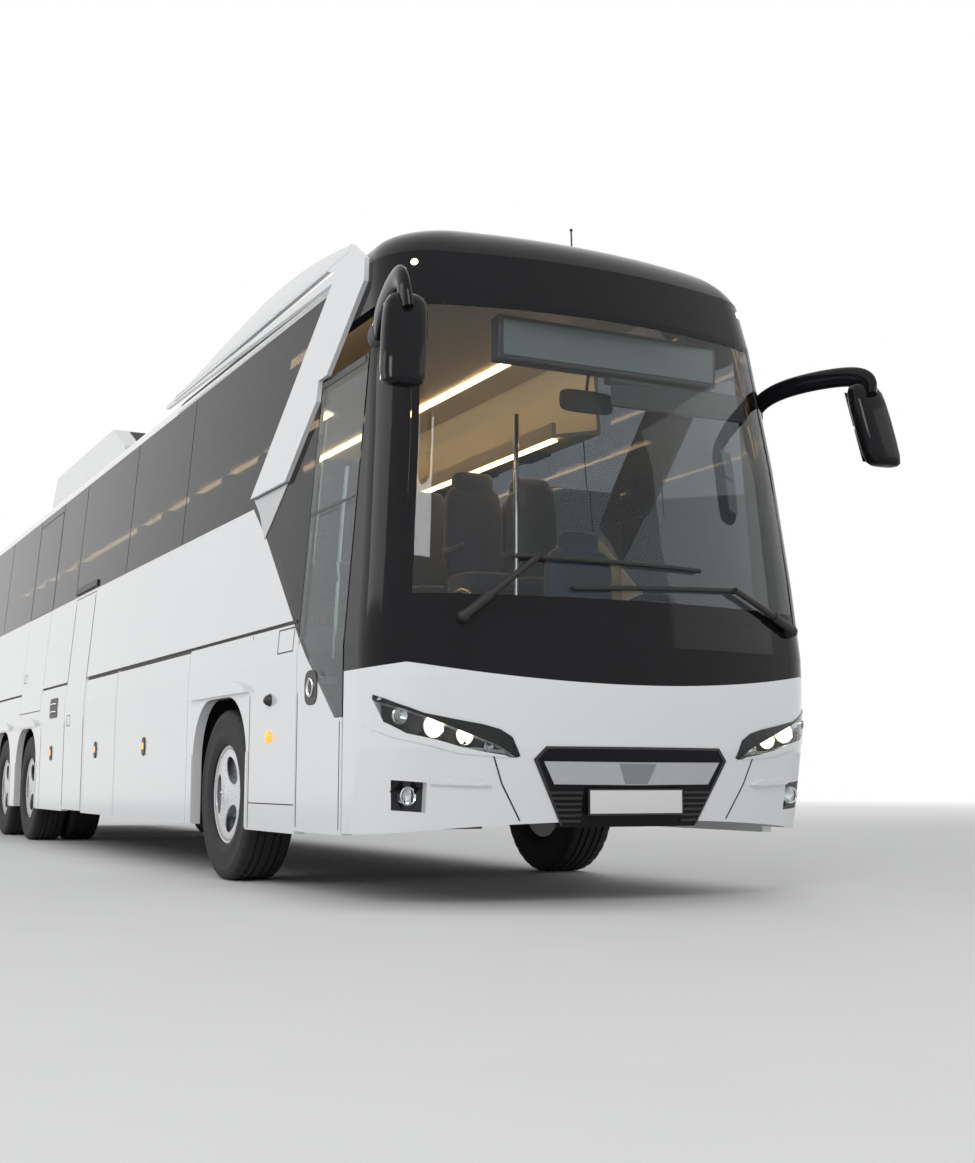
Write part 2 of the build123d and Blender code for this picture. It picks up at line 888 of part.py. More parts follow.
mid_column_foot = bay_floor_low + bay_floor_depth + running_gap
arm_rows = (("front_door_arm", front_pivot_y, column_foot), ("mid_door_arm", mid_pivot_y, mid_column_foot))
for name, pivot_y, foot in arm_rows:
    arm_solid = swing_arm(pivot_y, foot)
    with BuildPart() as door_arm:
        add(arm_solid)
    door_arm.part.label = name
    export_step(door_arm.part, f"parts/{name}.step")

# Lift door over the drive wheels: lower body panel and upper glass in one leaf, hinged at its front edge
leaf_front_y = lift_front_y + hinge_seam
lift_leaf = wall_section(-1, lift_door_low + seam, lift_door_high - seam, wall, leaf_front_y)
lift_leaf_run = leaf_front_y - (lift_rear_y - seam)
lift_hole_low = lift_pin(pin_radius + running_gap, lift_foot)
lift_hole_high = lift_pin(pin_radius + running_gap, lift_head)
with BuildPart() as lift_door:
    extrude(lift_leaf, amount=lift_leaf_run)
    add(white, mode=Mode.INTERSECT)
    add(lift_hole_low, mode=Mode.SUBTRACT)
lift_door.part.label = "lift_door"
export_step(lift_door.part, "parts/lift_door.step")

lift_pane = wall_section(-1, belt_height - seam, lift_door_high - seam, glass_depth, leaf_front_y)
with BuildPart() as lift_door_glass:
    extrude(lift_pane, amount=lift_leaf_run)
    add(dark_cut, mode=Mode.SUBTRACT)
    add(lift_hole_high, mode=Mode.SUBTRACT)
lift_door_glass.part.label = "lift_door_glass"
export_step(lift_door_glass.part, "parts/lift_door_glass.step")

# Luggage flaps, each turning on two pins near its top edge
for side, name, flaps in ((-1, "right", right_flaps), (1, "left", left_flaps)):
    for number, (front, rear) in enumerate(flaps, start=1):
        flap_front_y = front_axle_y + front + seam
        flap_rear_y = front_axle_y + rear - seam
        leaf = wall_section(side, skirt_height, flap_top, wall, flap_front_y)
        holes = flap_pins(side, front_axle_y + front, front_axle_y + rear, pin_radius + running_gap)
        with BuildPart() as flap:
            extrude(leaf, amount=flap_front_y - flap_rear_y)
            add(holes, mode=Mode.SUBTRACT)
        flap.part.label = f"flap_{name}_{number}"
        export_step(flap.part, f"parts/flap_{name}_{number}.step")

# Rear end: bumper, wall, window, engine lid and lamps, cut from the rear shell
def rear_face(points):
    """Sketch of a closed outline seen from behind, at the rear of the coach."""
    with BuildSketch(station(rear_join_y - cut_margin)) as face:
        with BuildLine():
            Polyline(*points, close=True)
        make_face()
    return face.sketch


def rear_box(left, right, low, high, gap=0):
    """Rectangle on the rear, grown by a gap."""
    return rear_face([
        (left - gap, low - gap), (right + gap, low - gap), (right + gap, high + gap), (left - gap, high + gap)
    ])


rear_through = rear_join + 2 * cut_margin
window_spread = (-rear_window_half, rear_window_half, rear_window_low, rear_window_high)
rear_window_outline = rear_box(*window_spread)
rear_window_opening = rear_box(*window_spread, panel_gap)
lid_outline = rear_box(-lid_half, lid_half, lid_low, lid_high - hinge_seam)
lid_opening = rear_box(-lid_half - seam, lid_half + seam, lid_low - seam, lid_high)
lamp_boxes = [
    rear_box(left, left + rear_lamp_outer - rear_lamp_inner, rear_lamp_low, rear_lamp_high)
    for left in (-rear_lamp_outer, rear_lamp_inner)
]
lamp_openings = [
    rear_box(left, left + rear_lamp_outer - rear_lamp_inner, rear_lamp_low, rear_lamp_high, panel_gap)
    for left in (-rear_lamp_outer, rear_lamp_inner)
]
rear_plate_top = plate_rear_z + plate_height / 2
rear_plate_y = rear_y - level_depth(2, rear_plate_top) + plate_stand
rear_slope = level_depth(2, rear_plate_top - plate_height) - level_depth(2, rear_plate_top)
rear_run = rear_slope + plate_stand + wall / 2
rear_pad = plate_pad(rear_plate_y, -rear_run, plate_rear_z)
rear_holes = plate_holes(rear_plate_y, -rear_run - wall, plate_rear_z)
with BuildPart() as rear_bumper:
    add(rear_low)
    split(bisect_by=Plane.XY.offset(rear_bumper_height), keep=Keep.BOTTOM)
    split(bisect_by=Plane.XY.offset(skirt_height), keep=Keep.TOP)
    add(rear_pad)
    add(rear_holes, mode=Mode.SUBTRACT)
rear_bumper.part.label = "rear_bumper"
export_step(rear_bumper.part, "parts/rear_bumper.step")

# Engine lid hinges: tabs with pins on the wall and bored tabs on the lid, on a line outside the bowed face
lid_hinge_y = rear_y - lid_hinge_back
lid_hinge_height = lid_high - hinge_seam / 2


def lid_tab(middle_x, low):
    """Hinge tab: a round eye on the hinge line, with a web in to the middle of the wall."""
    with BuildPart() as tab:
        with BuildSketch(Plane.YZ.offset(middle_x - lid_tab_width / 2)):
            with Locations((lid_hinge_y, lid_hinge_height)):
                Circle(lid_eye_radius)
            with Locations((lid_hinge_y - lid_tab_reach / 2, low + lid_eye_radius)):
                Rectangle(lid_tab_reach, 2 * lid_eye_radius)
        extrude(amount=lid_tab_width)
    return tab.part


def lid_pin(side, radius):
    """Pin from the wall's tab through the lid's."""
    with BuildPart() as pin:
        with BuildSketch(Plane.YZ.offset(side * (lid_hinge_x - lid_tab_width / 2))):
            with Locations((lid_hinge_y, lid_hinge_height)):
                Circle(radius)
        extrude(amount=side * 3 / 2 * lid_tab_width)
    return pin.part


wall_tab_x = lid_hinge_x + lid_tab_width + running_gap
wall_tabs = [lid_tab(side * wall_tab_x, lid_hinge_height) for side in (-1, 1)]
lid_tabs = [lid_tab(side * lid_hinge_x, lid_hinge_height - 2 * lid_eye_radius) for side in (-1, 1)]
wall_pins = [lid_pin(side, pin_radius) for side in (-1, 1)]
lid_bores = [lid_pin(side, pin_radius + running_gap) for side in (-1, 1)]
with BuildPart() as rear_wall:
    add(rear_low)
    split(bisect_by=Plane.XY.offset(rear_bumper_height + panel_gap), keep=Keep.TOP)
    add(rear_high)
    add(rear_cap)
    extrude(rear_window_opening, amount=-rear_through, mode=Mode.SUBTRACT)
    extrude(lid_opening, amount=-rear_through, mode=Mode.SUBTRACT)
    for lamp_opening in lamp_openings:
        extrude(lamp_opening, amount=-rear_through, mode=Mode.SUBTRACT)
    add(wall_tabs)
    add(wall_pins)
rear_wall.part.label = "rear_wall"
export_step(rear_wall.part, "parts/rear_wall.step")

with BuildPart() as rear_window:
    add(rear_high)
    extrude(rear_window_outline, amount=-rear_through, mode=Mode.INTERSECT)
rear_window.part.label = "rear_window"
export_step(rear_window.part, "parts/rear_window.step")

with BuildPart() as engine_lid:
    add(rear_low)
    add(rear_high)
    extrude(lid_outline, amount=-rear_through, mode=Mode.INTERSECT)
    add(lid_tabs)
    add(lid_bores, mode=Mode.SUBTRACT)
engine_lid.part.label = "engine_lid"
export_step(engine_lid.part, "parts/engine_lid.step")

with BuildPart() as lamp_band:
    add(rear_low)
    add(rear_high)
with BuildPart() as rear_lamps:
    for lamp_box in lamp_boxes:
        extrude(lamp_box, amount=-rear_through)
    add(lamp_band.part, mode=Mode.INTERSECT)
rear_lamps.part.label = "rear_lamps"
export_step(rear_lamps.part, "parts/rear_lamps.step")

# Tyres and wheels: each is turned about its own axle line
def wheel_plane(side, offset, axle_y):
    """Plane through the middle of a wheel, with its X along the axle outward and its Y upward."""
    origin = (side * (wheel_x - offset), axle_y, wheel_height)
    return Plane(origin=origin, x_dir=(side, 0, 0), z_dir=(0, -side, 0))


def tyre(side, offset, axle_y):
    """Tyre with a flat tread and upright sidewalls."""
    plane = wheel_plane(side, offset, axle_y)
    bead = rim_radius + running_gap
    with BuildPart() as ring:
        with BuildSketch(plane):
            with BuildLine():
                Polyline(
                    (-tyre_width / 2, tyre_radius),
                    (tyre_width / 2, tyre_radius),
                    (tyre_width / 2, bead),
                    (-tyre_width / 2, bead),
                    close=True,
                )
            make_face()
        revolve(axis=Axis(plane.origin, plane.x_dir))
    return ring.part


def rim(side, axle_y, twin):
    """Wheel with a dished outer face, three oval windows, and a blind bore for the spindle."""
    plane = wheel_plane(side, 0, axle_y)
    face = rim_width / 2
    back = -face - (twin_spacing if twin else 0)
    bore = spindle_radius + running_gap
    with BuildPart() as wheel:
        with BuildSketch(plane):
            with BuildLine():
                Polyline(
                    (face, 0),
                    (face, hub_radius),
                    (face - dish_depth, hub_radius),
                    (face - dish_depth, dish_radius),
                    (face, dish_radius),
                    (face, rim_radius),
                    (back, rim_radius),
                    (back, bore),
                    (spindle_reach + running_gap, bore),
                    (spindle_reach + running_gap, 0),
                    close=True,
                )
            make_face()
        revolve(axis=Axis(plane.origin, plane.x_dir))
        with BuildSketch(Plane(origin=plane.origin + plane.x_dir * face, x_dir=(0, 1, 0), z_dir=plane.x_dir)):
            with PolarLocations((hub_radius + dish_radius) / 2, rim_window_count, 90):
                SlotOverall(rim_window_length, rim_window_width, rotation=90)
        extrude(amount=-dish_depth - rim_window_depth, mode=Mode.SUBTRACT)
    return wheel.part


wheel_rows = (("front", front_axle_y, False), ("drive", drive_axle_y, True), ("tag", tag_axle_y, False))
for name, axle_y, twin in wheel_rows:
    for side, side_name in ((-1, "right"), (1, "left")):
        rings = [tyre(side, 0, axle_y)]
        if twin:
            rings.append(tyre(side, twin_spacing, axle_y))
        with BuildPart() as tyres:
            add(rings)
        tyres.part.label = f"tyre_{name}_{side_name}"
        export_step(tyres.part, f"parts/tyre_{name}_{side_name}.step")
        rim_solid = rim(side, axle_y, twin)
        with BuildPart() as wheel:
            add(rim_solid)
        wheel.part.label = f"wheel_{name}_{side_name}"
        export_step(wheel.part, f"parts/wheel_{name}_{side_name}.step")

# Front axle: dropped beam with a round fist and kingpin at each end, and air bellows up to the rails
fist_low = wheel_height - fist_height / 2
lug_low = fist_low - lug_gap - lug_height
pin_run = fist_height + 2 * (lug_gap + lug_height)
rail_middle_x = rail_inner_x + rail_width / 2
with BuildPart() as front_axle:
    with Locations((0, front_axle_y, wheel_height)):
        Box(2 * kingpin_x, beam_width, fist_height)
    for side in (-1, 1):
        with BuildSketch(Plane.XY.offset(fist_low)):
            with Locations((side * kingpin_x, front_axle_y)):
                Circle(fist_radius)
        extrude(amount=fist_height)
        with BuildSketch(Plane.XY.offset(lug_low)):
            with Locations((side * kingpin_x, front_axle_y)):
                Circle(kingpin_radius)
        extrude(amount=pin_run)
        with BuildSketch(Plane.XY.offset(wheel_height)):
            with Locations((side * rail_middle_x, front_axle_y)):
                Circle(bellows_radius)
        extrude(amount=rail_low - running_gap - wheel_height)
front_axle.part.label = "front_axle"
export_step(front_axle.part, "parts/front_axle.step")

# Steering knuckles: two lugs on the kingpin, a web outside the fist and the wheel's spindle
for side, side_name in ((-1, "right"), (1, "left")):
    web_x = kingpin_x + fist_radius + lug_gap
    with BuildPart() as knuckle:
        for low in (lug_low, fist_low + fist_height + lug_gap):
            with BuildSketch(Plane.XY.offset(low)):
                with Locations((side * kingpin_x, front_axle_y)):
                    Circle(lug_radius)
                with Locations((side * (kingpin_x + web_x + web_depth) / 2, front_axle_y)):
                    Rectangle(web_x + web_depth - kingpin_x, 2 * lug_radius)
            extrude(amount=lug_height)
        with Locations((side * (web_x + web_depth / 2), front_axle_y, wheel_height)):
            Box(web_depth, 2 * lug_radius, pin_run)
        with BuildSketch(Plane.YZ.offset(side * (web_x + web_depth / 2))):
            with Locations((front_axle_y, wheel_height)):
                Circle(spindle_radius)
        extrude(amount=side * (wheel_x + spindle_reach - web_x - web_depth / 2))
        with BuildSketch(Plane.XY.offset(lug_low)):
            with Locations((side * kingpin_x, front_axle_y)):
                Circle(kingpin_radius + running_gap)
        extrude(amount=pin_run, mode=Mode.SUBTRACT)
    knuckle.part.label = f"knuckle_{side_name}"
    export_step(knuckle.part, f"parts/knuckle_{side_name}.step")

# Rear axles: a tube with spindles, bellows up to the rails, and the drive housing on the first one
rear_axle_rows = (
    # name, station, tube radius, driven
    ("drive_axle", drive_axle_y, drive_tube_radius, True),
    ("tag_axle", tag_axle_y, tag_tube_radius, False),
)
for name, axle_y, tube_radius, driven in rear_axle_rows:
    tube_half = wheel_x - rim_width / 2 - lug_gap - (twin_spacing if driven else 0)
    with BuildPart() as axle:
        with BuildSketch(Plane.YZ):
            with Locations((axle_y, wheel_height)):
                Circle(tube_radius)
        extrude(amount=tube_half, both=True)
        with BuildSketch(Plane.YZ):
            with Locations((axle_y, wheel_height)):
                Circle(spindle_radius)
        extrude(amount=wheel_x + spindle_reach, both=True)
        if driven:
            with BuildSketch(Plane.YZ):
                with Locations((axle_y, wheel_height)):
                    Circle(drive_housing_radius)
            extrude(amount=drive_housing_half, both=True)
        for side in (-1, 1):
            with BuildSketch(Plane.XY.offset(wheel_height)):
                with Locations((side * rail_middle_x, axle_y)):
                    Circle(bellows_radius)
            extrude(amount=rail_low - running_gap - wheel_height)
    axle.part.label = name
    export_step(axle.part, f"parts/{name}.step")


def slab(front, rear, inner, outer, low, high, side=0):
    """Box between two stations, two half widths and two heights; with no side it runs right across."""
    middle_x = side * (inner + outer) / 2
    width = outer - inner if side else 2 * outer
    with BuildPart() as block:
        with BuildSketch(Plane.XY.offset(low)):
            with Locations((middle_x, (front + rear) / 2)):
                Rectangle(width, rear - front)
        extrude(amount=high - low)
    return block.part


# Underframe: rails, luggage floor, bulkheads, wheelhouses and the walls of the middle stairwell,
# each a straight board of its own that is seated on the next
bay_front_y = front_axle_y + bay_front
bay_rear_y = front_axle_y + bay_rear
house_rear_y = tag_axle_y + rear_house_half
deck_low = deck_height - deck_depth
bay_half = half_width - wall - seam
stair_front_y = mid_front_y - sheet
stair_rear_y = mid_rear_y + sheet
bay_floor_top = bay_floor_low + bay_floor_depth
board_low = bay_floor_top + panel_gap
board_top = deck_low - panel_gap
upper_half = side_x(board_top) - wall - seam
rail_outer_x = rail_inner_x + rail_width
rail_top = rail_low + rail_depth
house_inner = rail_outer_x + panel_gap
house_high = house_top + sheet
house_wall_top = house_top - panel_gap
house_side_x = house_inner_x + panel_gap
front_house_y = front_axle_y - front_house_half
front_rail_rear = bay_front_y - panel_gap
rear_rail_front = bay_rear_y + panel_gap
house_end_y = house_rear_y - panel_gap
front_tip_y = front_axle_y + front_rail_end
rear_tip_y = rear_join_y + rail_past_join
stair_outer_x = bay_half - bracket_width
stair_wall_x = stair_inner_x + panel_gap
jack_y = rear_tip_y - jack_setback
middle_rows = (
    # front, rear, inner, outer, low and high of the boards that run right across
    (bay_front_y, bay_rear_y, 0, bay_half, bay_floor_low, bay_floor_top),
    (bay_front_y, bay_front_y + sheet, 0, upper_half, board_low, board_top),
    (bay_rear_y - sheet, bay_rear_y, 0, upper_half, board_low, board_top),
    (house_rear_y, house_rear_y + sheet, 0, upper_half, rail_top + panel_gap, board_top),
)
side_rows = (
    # front, rear, inner, outer, low and high of the rails, jack pads and wheelhouse boards
    (front_tip_y, front_rail_rear, rail_inner_x, rail_outer_x, rail_low, rail_top),
    (rear_rail_front, rear_tip_y, rail_inner_x, rail_outer_x, rail_low, rail_top),
    (jack_y - jack_half, jack_y + jack_half, rail_inner_x, rail_outer_x, jack_low, rail_low - panel_gap),
    (front_house_y, front_rail_rear, house_inner, house_inner_x, house_low, house_wall_top),
    (front_house_y, front_rail_rear, house_inner, bay_half, house_top, house_high),
    (front_house_y, front_house_y + sheet, house_side_x, bay_half, rail_low, house_wall_top),
    (rear_rail_front, house_end_y, house_inner, house_inner_x, house_low, house_wall_top),
    (rear_rail_front, house_end_y, house_inner, bay_half, house_top, house_high),
)
stair_rows = (
    # front, rear, inner, outer, low and high of the walls round the middle stairs
    (stair_front_y, mid_front_y, stair_wall_x, stair_outer_x, board_low, board_top),
    (mid_rear_y, stair_rear_y, stair_wall_x, stair_outer_x, board_low, board_top),
    (stair_front_y, stair_rear_y, stair_inner_x - sheet, stair_inner_x, board_low, board_top),
)
frame_boards = [slab(*row) for row in middle_rows]
frame_boards += [slab(*row, side) for row in side_rows for side in (-1, 1)]
frame_boards += [slab(*row, -1) for row in stair_rows]
with BuildPart() as underframe:
    add(frame_boards)
underframe.part.label = "underframe"
export_step(underframe.part, "parts/underframe.step")

# Passenger deck, with its opening over the middle stairs
deck_half = side_x(deck_height) - wall - seam
stair_cut = slab(mid_front_y, mid_rear_y, stair_inner_x, half_width, 0, roof_height, -1)
deck_block = slab(front_axle_y + deck_front, rear_join_y, 0, deck_half, deck_low, deck_height)
with BuildPart() as deck:
    add(deck_block)
    add(stair_cut, mode=Mode.SUBTRACT)
deck.part.label = "deck"
export_step(deck.part, "parts/deck.step")

# Front platform for the driver, the entry steps and the middle steps
platform_front_y = front_axle_y + platform_front
deck_front_y = front_axle_y + deck_front
step_outer = arm_x - column_radius - seam
entry_inner_x = rail_outer_x + sheet + seam
entry_front_y = door_front_y - entry_margin
entry_rear_y = door_rear_y + entry_margin
platform_low = platform_height - platform_depth
side_low = skirt_height + platform_depth
platform_half = half_width - front_corner / 2
platform_blocks = [
    slab(platform_front_y, deck_front_y, 0, platform_half, platform_low, platform_height),
    slab(deck_front_y - sheet, deck_front_y - panel_gap, 0, deck_half, platform_low, deck_height),
]
entry_cut = slab(entry_front_y, entry_rear_y, entry_inner_x, half_width, 0, deck_height, -1)
entry_rise = (platform_height - skirt_height) / (entry_count + 1)
entry_run = (step_outer - entry_inner_x) / entry_count
entry_blocks = []
for count in range(entry_count):
    tread = skirt_height + entry_rise * (count + 1)
    nose = step_outer - entry_run * count
    entry_blocks.append(
        slab(entry_front_y, entry_rear_y, entry_inner_x, nose, tread - platform_depth, tread, -1)
    )
entry_walls = (
    # front, rear, inner and outer of the stairwell's two ends and its inner side
    (entry_front_y - sheet, entry_front_y, entry_inner_x, step_outer),
    (entry_rear_y, entry_rear_y + sheet, entry_inner_x, step_outer),
    (entry_front_y - sheet, entry_rear_y + sheet, entry_inner_x - sheet, entry_inner_x),
)
entry_sides = [slab(*row, side_low, platform_height, -1) for row in entry_walls]
mid_rise = (deck_height - bay_floor_low) / (mid_count + 1)
mid_run = (step_outer - stair_inner_x) / mid_count
mid_foot = board_low
mid_inner_x = stair_inner_x + panel_gap
mid_steps_front = mid_front_y + panel_gap
mid_steps_rear = mid_rear_y - panel_gap
mid_blocks = []
for count in range(mid_count):
    tread = bay_floor_low + mid_rise * (count + 1)
    nose = step_outer - mid_run * count
    mid_blocks.append(slab(mid_steps_front, mid_steps_rear, mid_inner_x, nose, mid_foot, tread, -1))
with BuildPart() as steps:
    add(platform_blocks)
    add(entry_cut, mode=Mode.SUBTRACT)
    add(entry_blocks)
    add(entry_sides)
    add(mid_blocks)
steps.part.label = "steps"
export_step(steps.part, "parts/steps.step")

# Engine block between the rear rails
engine_half = rail_inner_x - running_gap
engine_front_y = house_rear_y + engine_front_share * (rear_join_y - house_rear_y)
engine_rear_y = rear_join_y - engine_rear_room
engine_block = slab(engine_front_y, engine_rear_y, 0, engine_half, engine_low, engine_high)
with BuildPart() as engine:
    add(engine_block)
engine.part.label = "engine"
export_step(engine.part, "parts/engine.step")

# Seats: each pair has a cushion, two backs and a leg, standing on the deck
cushion_top = deck_height + seat_cushion_height
cushion_low = cushion_top - seat_cushion_depth
back_top = deck_height + seat_back_height
outer_x = min(seat_outer_x, side_x(back_top) - glass_depth - seam)
leg_outer_x = seat_leg_x + seat_leg_width
seat_blocks = []
first_seat_y = front_axle_y + seat_first
seat_rows = int((rear_join_y - first_seat_y - seat_length) / seat_pitch) + 1
for row in range(seat_rows):
    front = first_seat_y + row * seat_pitch
    rear = front + seat_length
    for side in (-1, 1):
        if side > 0 or rear < mid_front_y or front > mid_rear_y:
            seat_blocks += [
                slab(front, rear, seat_inner_x, outer_x, cushion_low, cushion_top, side),
                slab(rear - seat_back_depth, rear, seat_inner_x, outer_x, cushion_top, back_top, side),
                slab(front + seat_leg_inset, rear - seat_leg_inset, seat_leg_x, leg_outer_x, deck_height,
                     cushion_low, side),
            ]
with BuildPart() as seats:
    add(seat_blocks)
seats.part.label = "seats"
export_step(seats.part, "parts/seats.step")

# Driver's seat on its post
seat_front_y = front_axle_y + driver_y - driver_seat_length / 2
seat_rear_y = seat_front_y + driver_seat_length
driver_inner = driver_x - driver_seat_width / 2
driver_outer = driver_x + driver_seat_width / 2
driver_cushion_top = driver_cushion_low + driver_cushion_depth
post_inset = (driver_seat_width - driver_post_width) / 2
driver_back_y = seat_rear_y - driver_cushion_depth
post_front_y = seat_front_y + post_inset
post_rear_y = seat_rear_y - post_inset
driver_rows = (
    # front, rear, inner, outer, low and high of the post, the cushion and the back
    (post_front_y, post_rear_y, driver_inner + post_inset, driver_outer - post_inset, 0, driver_cushion_low),
    (seat_front_y, seat_rear_y, driver_inner, driver_outer, driver_cushion_low, driver_cushion_top),
    (driver_back_y, seat_rear_y, driver_inner, driver_outer, driver_cushion_top, driver_back_height),
)
driver_blocks = [
    slab(front, rear, inner, outer, platform_height + low, platform_height + high, 1)
    for front, rear, inner, outer, low, high in driver_rows
]
with BuildPart() as driver_seat:
    add(driver_blocks)
driver_seat.part.label = "driver_seat"
export_step(driver_seat.part, "parts/driver_seat.step")

# Dashboard across the front, with the driver's binnacle
dash_front_y = front_axle_y + dash_front
dash_rear_y = dash_front_y + dash_depth
with BuildPart() as dashboard:
    with BuildSketch(Plane.YZ.offset(-stair_inner_x)):
        with BuildLine():
            Polyline(
                (dash_front_y + dash_foot_setback, platform_height),
                (dash_front_y + dash_foot_setback + dash_foot_depth, platform_height),
                (dash_rear_y, dash_height - dash_face_height),
                (dash_rear_y - dash_foot_setback, dash_height),
                (dash_front_y, dash_height - dash_slope),
                close=True,
            )
        make_face()
    extrude(amount=stair_inner_x + dash_left_x)
dashboard.part.label = "dashboard"
export_step(dashboard.part, "parts/dashboard.step")

# Steering wheel on its column
wheel_centre = Vector(driver_x, dash_rear_y + wheel_behind_dash, dash_height + wheel_above_dash)
column_axis = Vector(0, -1, 0).rotate(Axis.X, column_angle)
steer_plane = Plane(origin=wheel_centre, x_dir=(1, 0, 0), z_dir=column_axis)
with BuildPart() as steering_wheel:
    with BuildSketch(steer_plane):
        Circle(wheel_rim_radius + wheel_rim_tube)
        Circle(wheel_rim_radius - wheel_rim_tube, mode=Mode.SUBTRACT)
        Rectangle(2 * wheel_rim_radius, wheel_spoke_width)
        Circle(wheel_hub_radius)
    extrude(amount=2 * wheel_rim_tube)
    with BuildSketch(steer_plane):
        Circle(2 * wheel_rim_tube)
    extrude(until=Until.NEXT, target=dashboard.part)
steering_wheel.part.label = "steering_wheel"
export_step(steering_wheel.part, "parts/steering_wheel.step")

# Luggage racks along both sides, hung from the foot of the roof
with BuildPart() as luggage_racks:
    rack_front_y = front_axle_y + rack_front
    for side in (-1, 1):
        hang_x = side_x(cant_height) - wall + rack_overlap
        hang_top = cant_height + half_gap - panel_gap
        low_x = side_x(rack_low) - wall
        lip_x = rack_inner_x + rack_depth
        tray_low = rack_low - rack_drop
        with BuildSketch(station(rack_front_y)):
            with BuildLine():
                Polyline(
                    (side * rack_inner_x, tray_low),
                    (side * low_x, rack_low),
                    (side * hang_x, hang_top),
                    (side * (hang_x - rack_depth), hang_top),
                    (side * (low_x - rack_depth), rack_low + rack_depth),
                    (side * lip_x, tray_low + rack_depth),
                    (side * lip_x, rack_low + rack_lip),
                    (side * rack_inner_x, rack_low + rack_lip),
                    close=True,
                )
            make_face()
        extrude(amount=rack_front_y - (rear_join_y - rack_rear_room))
luggage_racks.part.label = "luggage_racks"
export_step(luggage_racks.part, "parts/luggage_racks.step")

# Mirrors: a bent arm from the cap and a tall head on each side
mirror_front_y = front_y - mirror_reach
head_middle_y = mirror_front_y + mirror_head_depth / 2
arm_top = mirror_head_high + cut_margin
with BuildPart() as mirrors:
    for side in (-1, 1):
        with BuildLine() as arm_path:
            FilletPolyline(
                (side * mirror_root_x, front_axle_y + mirror_root_y, mirror_root_height),
                (side * mirror_elbow_x, front_axle_y + mirror_elbow_y, mirror_root_height + mirror_arm_rise),
                (side * mirror_x, head_middle_y, arm_top),
                (side * mirror_x, head_middle_y, mirror_head_high - cut_margin),
                radius=mirror_arm_bend,
            )
        with BuildSketch(Plane(arm_path.line @ 0, z_dir=arm_path.line % 0)):
            Circle(mirror_arm_radius)
        sweep(path=arm_path.line)
        with Locations((side * mirror_x, head_middle_y, (mirror_head_low + mirror_head_high) / 2)):
            Box(mirror_head_width, mirror_head_depth, mirror_head_high - mirror_head_low)
    upright = mirrors.edges().filter_by(Axis.Z).group_by(SortBy.LENGTH)[-1]
    fillet(upright, radius=mirror_head_corner)
    add(front_block, mode=Mode.SUBTRACT)
    add(cap_block, mode=Mode.SUBTRACT)
mirrors.part.label = "mirrors"
export_step(mirrors.part, "parts/mirrors.step")

# Wipers: flat bars that follow the curve of the windscreen
wiper_inner = end_block(1, cap_join_y, body_levels(1, -wiper_stand)[1])
wiper_outer = end_block(1, cap_join_y, body_levels(1, -wiper_stand - wiper_depth)[1])
with BuildSketch(station(front_y - cut_margin)) as bars:
    for points in wiper_arms + wiper_blades:
        with BuildLine():
            Polyline(*points, close=True)
        make_face()
with BuildSketch(station(front_y - cut_margin)) as pivots:
    for points in wiper_arms:
        foot_x = (points[0][0] + points[1][0]) / 2
        with Locations((foot_x, points[0][1] + wiper_stand)):
            Circle(wiper_pivot_radius)
with BuildPart() as wiper_bars:
    extrude(bars.sketch, amount=-through)
    add(wiper_outer, mode=Mode.INTERSECT)
    add(wiper_inner, mode=Mode.SUBTRACT)
with BuildPart() as wiper_pivots:
    extrude(pivots.sketch, amount=-through)
    add(wiper_outer, mode=Mode.INTERSECT)
    add(front_block, mode=Mode.SUBTRACT)
with BuildPart() as wipers:
    add(wiper_bars.part)
    add(wiper_pivots.part)
wipers.part.label = "wipers"
export_step(wipers.part, "parts/wipers.step")

# Aerial on the roof behind the cap
with BuildPart() as aerial:
    with BuildSketch(Plane.XY.offset(unit_seat_height)):
        with Locations((aerial_x, front_axle_y + aerial_y)):
            Rectangle(aerial_foot_width, aerial_foot_length)
    with BuildSketch(Plane.XY.offset(roof_height + aerial_height)):
        with Locations((aerial_x, front_axle_y + aerial_y + aerial_rake)):
            Rectangle(aerial_tip_width, aerial_tip_length)
    loft(ruled=True)
    extrude(unit_outline, amount=-roof_run, mode=Mode.SUBTRACT)
    add(cap_block, mode=Mode.SUBTRACT)
aerial.part.label = "aerial"
export_step(aerial.part, "parts/aerial.step")
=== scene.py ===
import bmesh
import bpy
import json
from math import cos, pi, radians, sin
from mathutils import Matrix, Vector
from mathutils.bvhtree import BVHTree


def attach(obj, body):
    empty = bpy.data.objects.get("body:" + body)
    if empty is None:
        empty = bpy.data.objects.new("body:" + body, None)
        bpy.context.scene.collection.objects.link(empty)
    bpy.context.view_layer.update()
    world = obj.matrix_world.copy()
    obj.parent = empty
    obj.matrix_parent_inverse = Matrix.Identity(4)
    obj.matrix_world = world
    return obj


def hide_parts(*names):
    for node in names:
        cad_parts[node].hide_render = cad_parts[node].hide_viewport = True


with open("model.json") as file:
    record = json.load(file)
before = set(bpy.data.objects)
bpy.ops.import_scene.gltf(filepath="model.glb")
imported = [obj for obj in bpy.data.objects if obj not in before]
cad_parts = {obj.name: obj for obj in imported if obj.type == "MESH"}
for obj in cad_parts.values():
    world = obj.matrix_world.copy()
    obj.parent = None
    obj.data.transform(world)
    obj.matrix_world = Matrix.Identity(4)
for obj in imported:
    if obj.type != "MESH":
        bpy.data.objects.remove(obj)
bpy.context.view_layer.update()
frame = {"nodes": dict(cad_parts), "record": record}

# Sizes in metres. The front faces -Y, the doors are on -X, and +Z is up.
HALF_WIDTH = 1.275
FRONT_AXLE_Y = -4.06
DRIVE_AXLE_Y = 2.54
TAG_AXLE_Y = 4.01
WHEEL_X = 1.086
WHEEL_HEIGHT = 0.512
TWIN_SPACING = 0.335
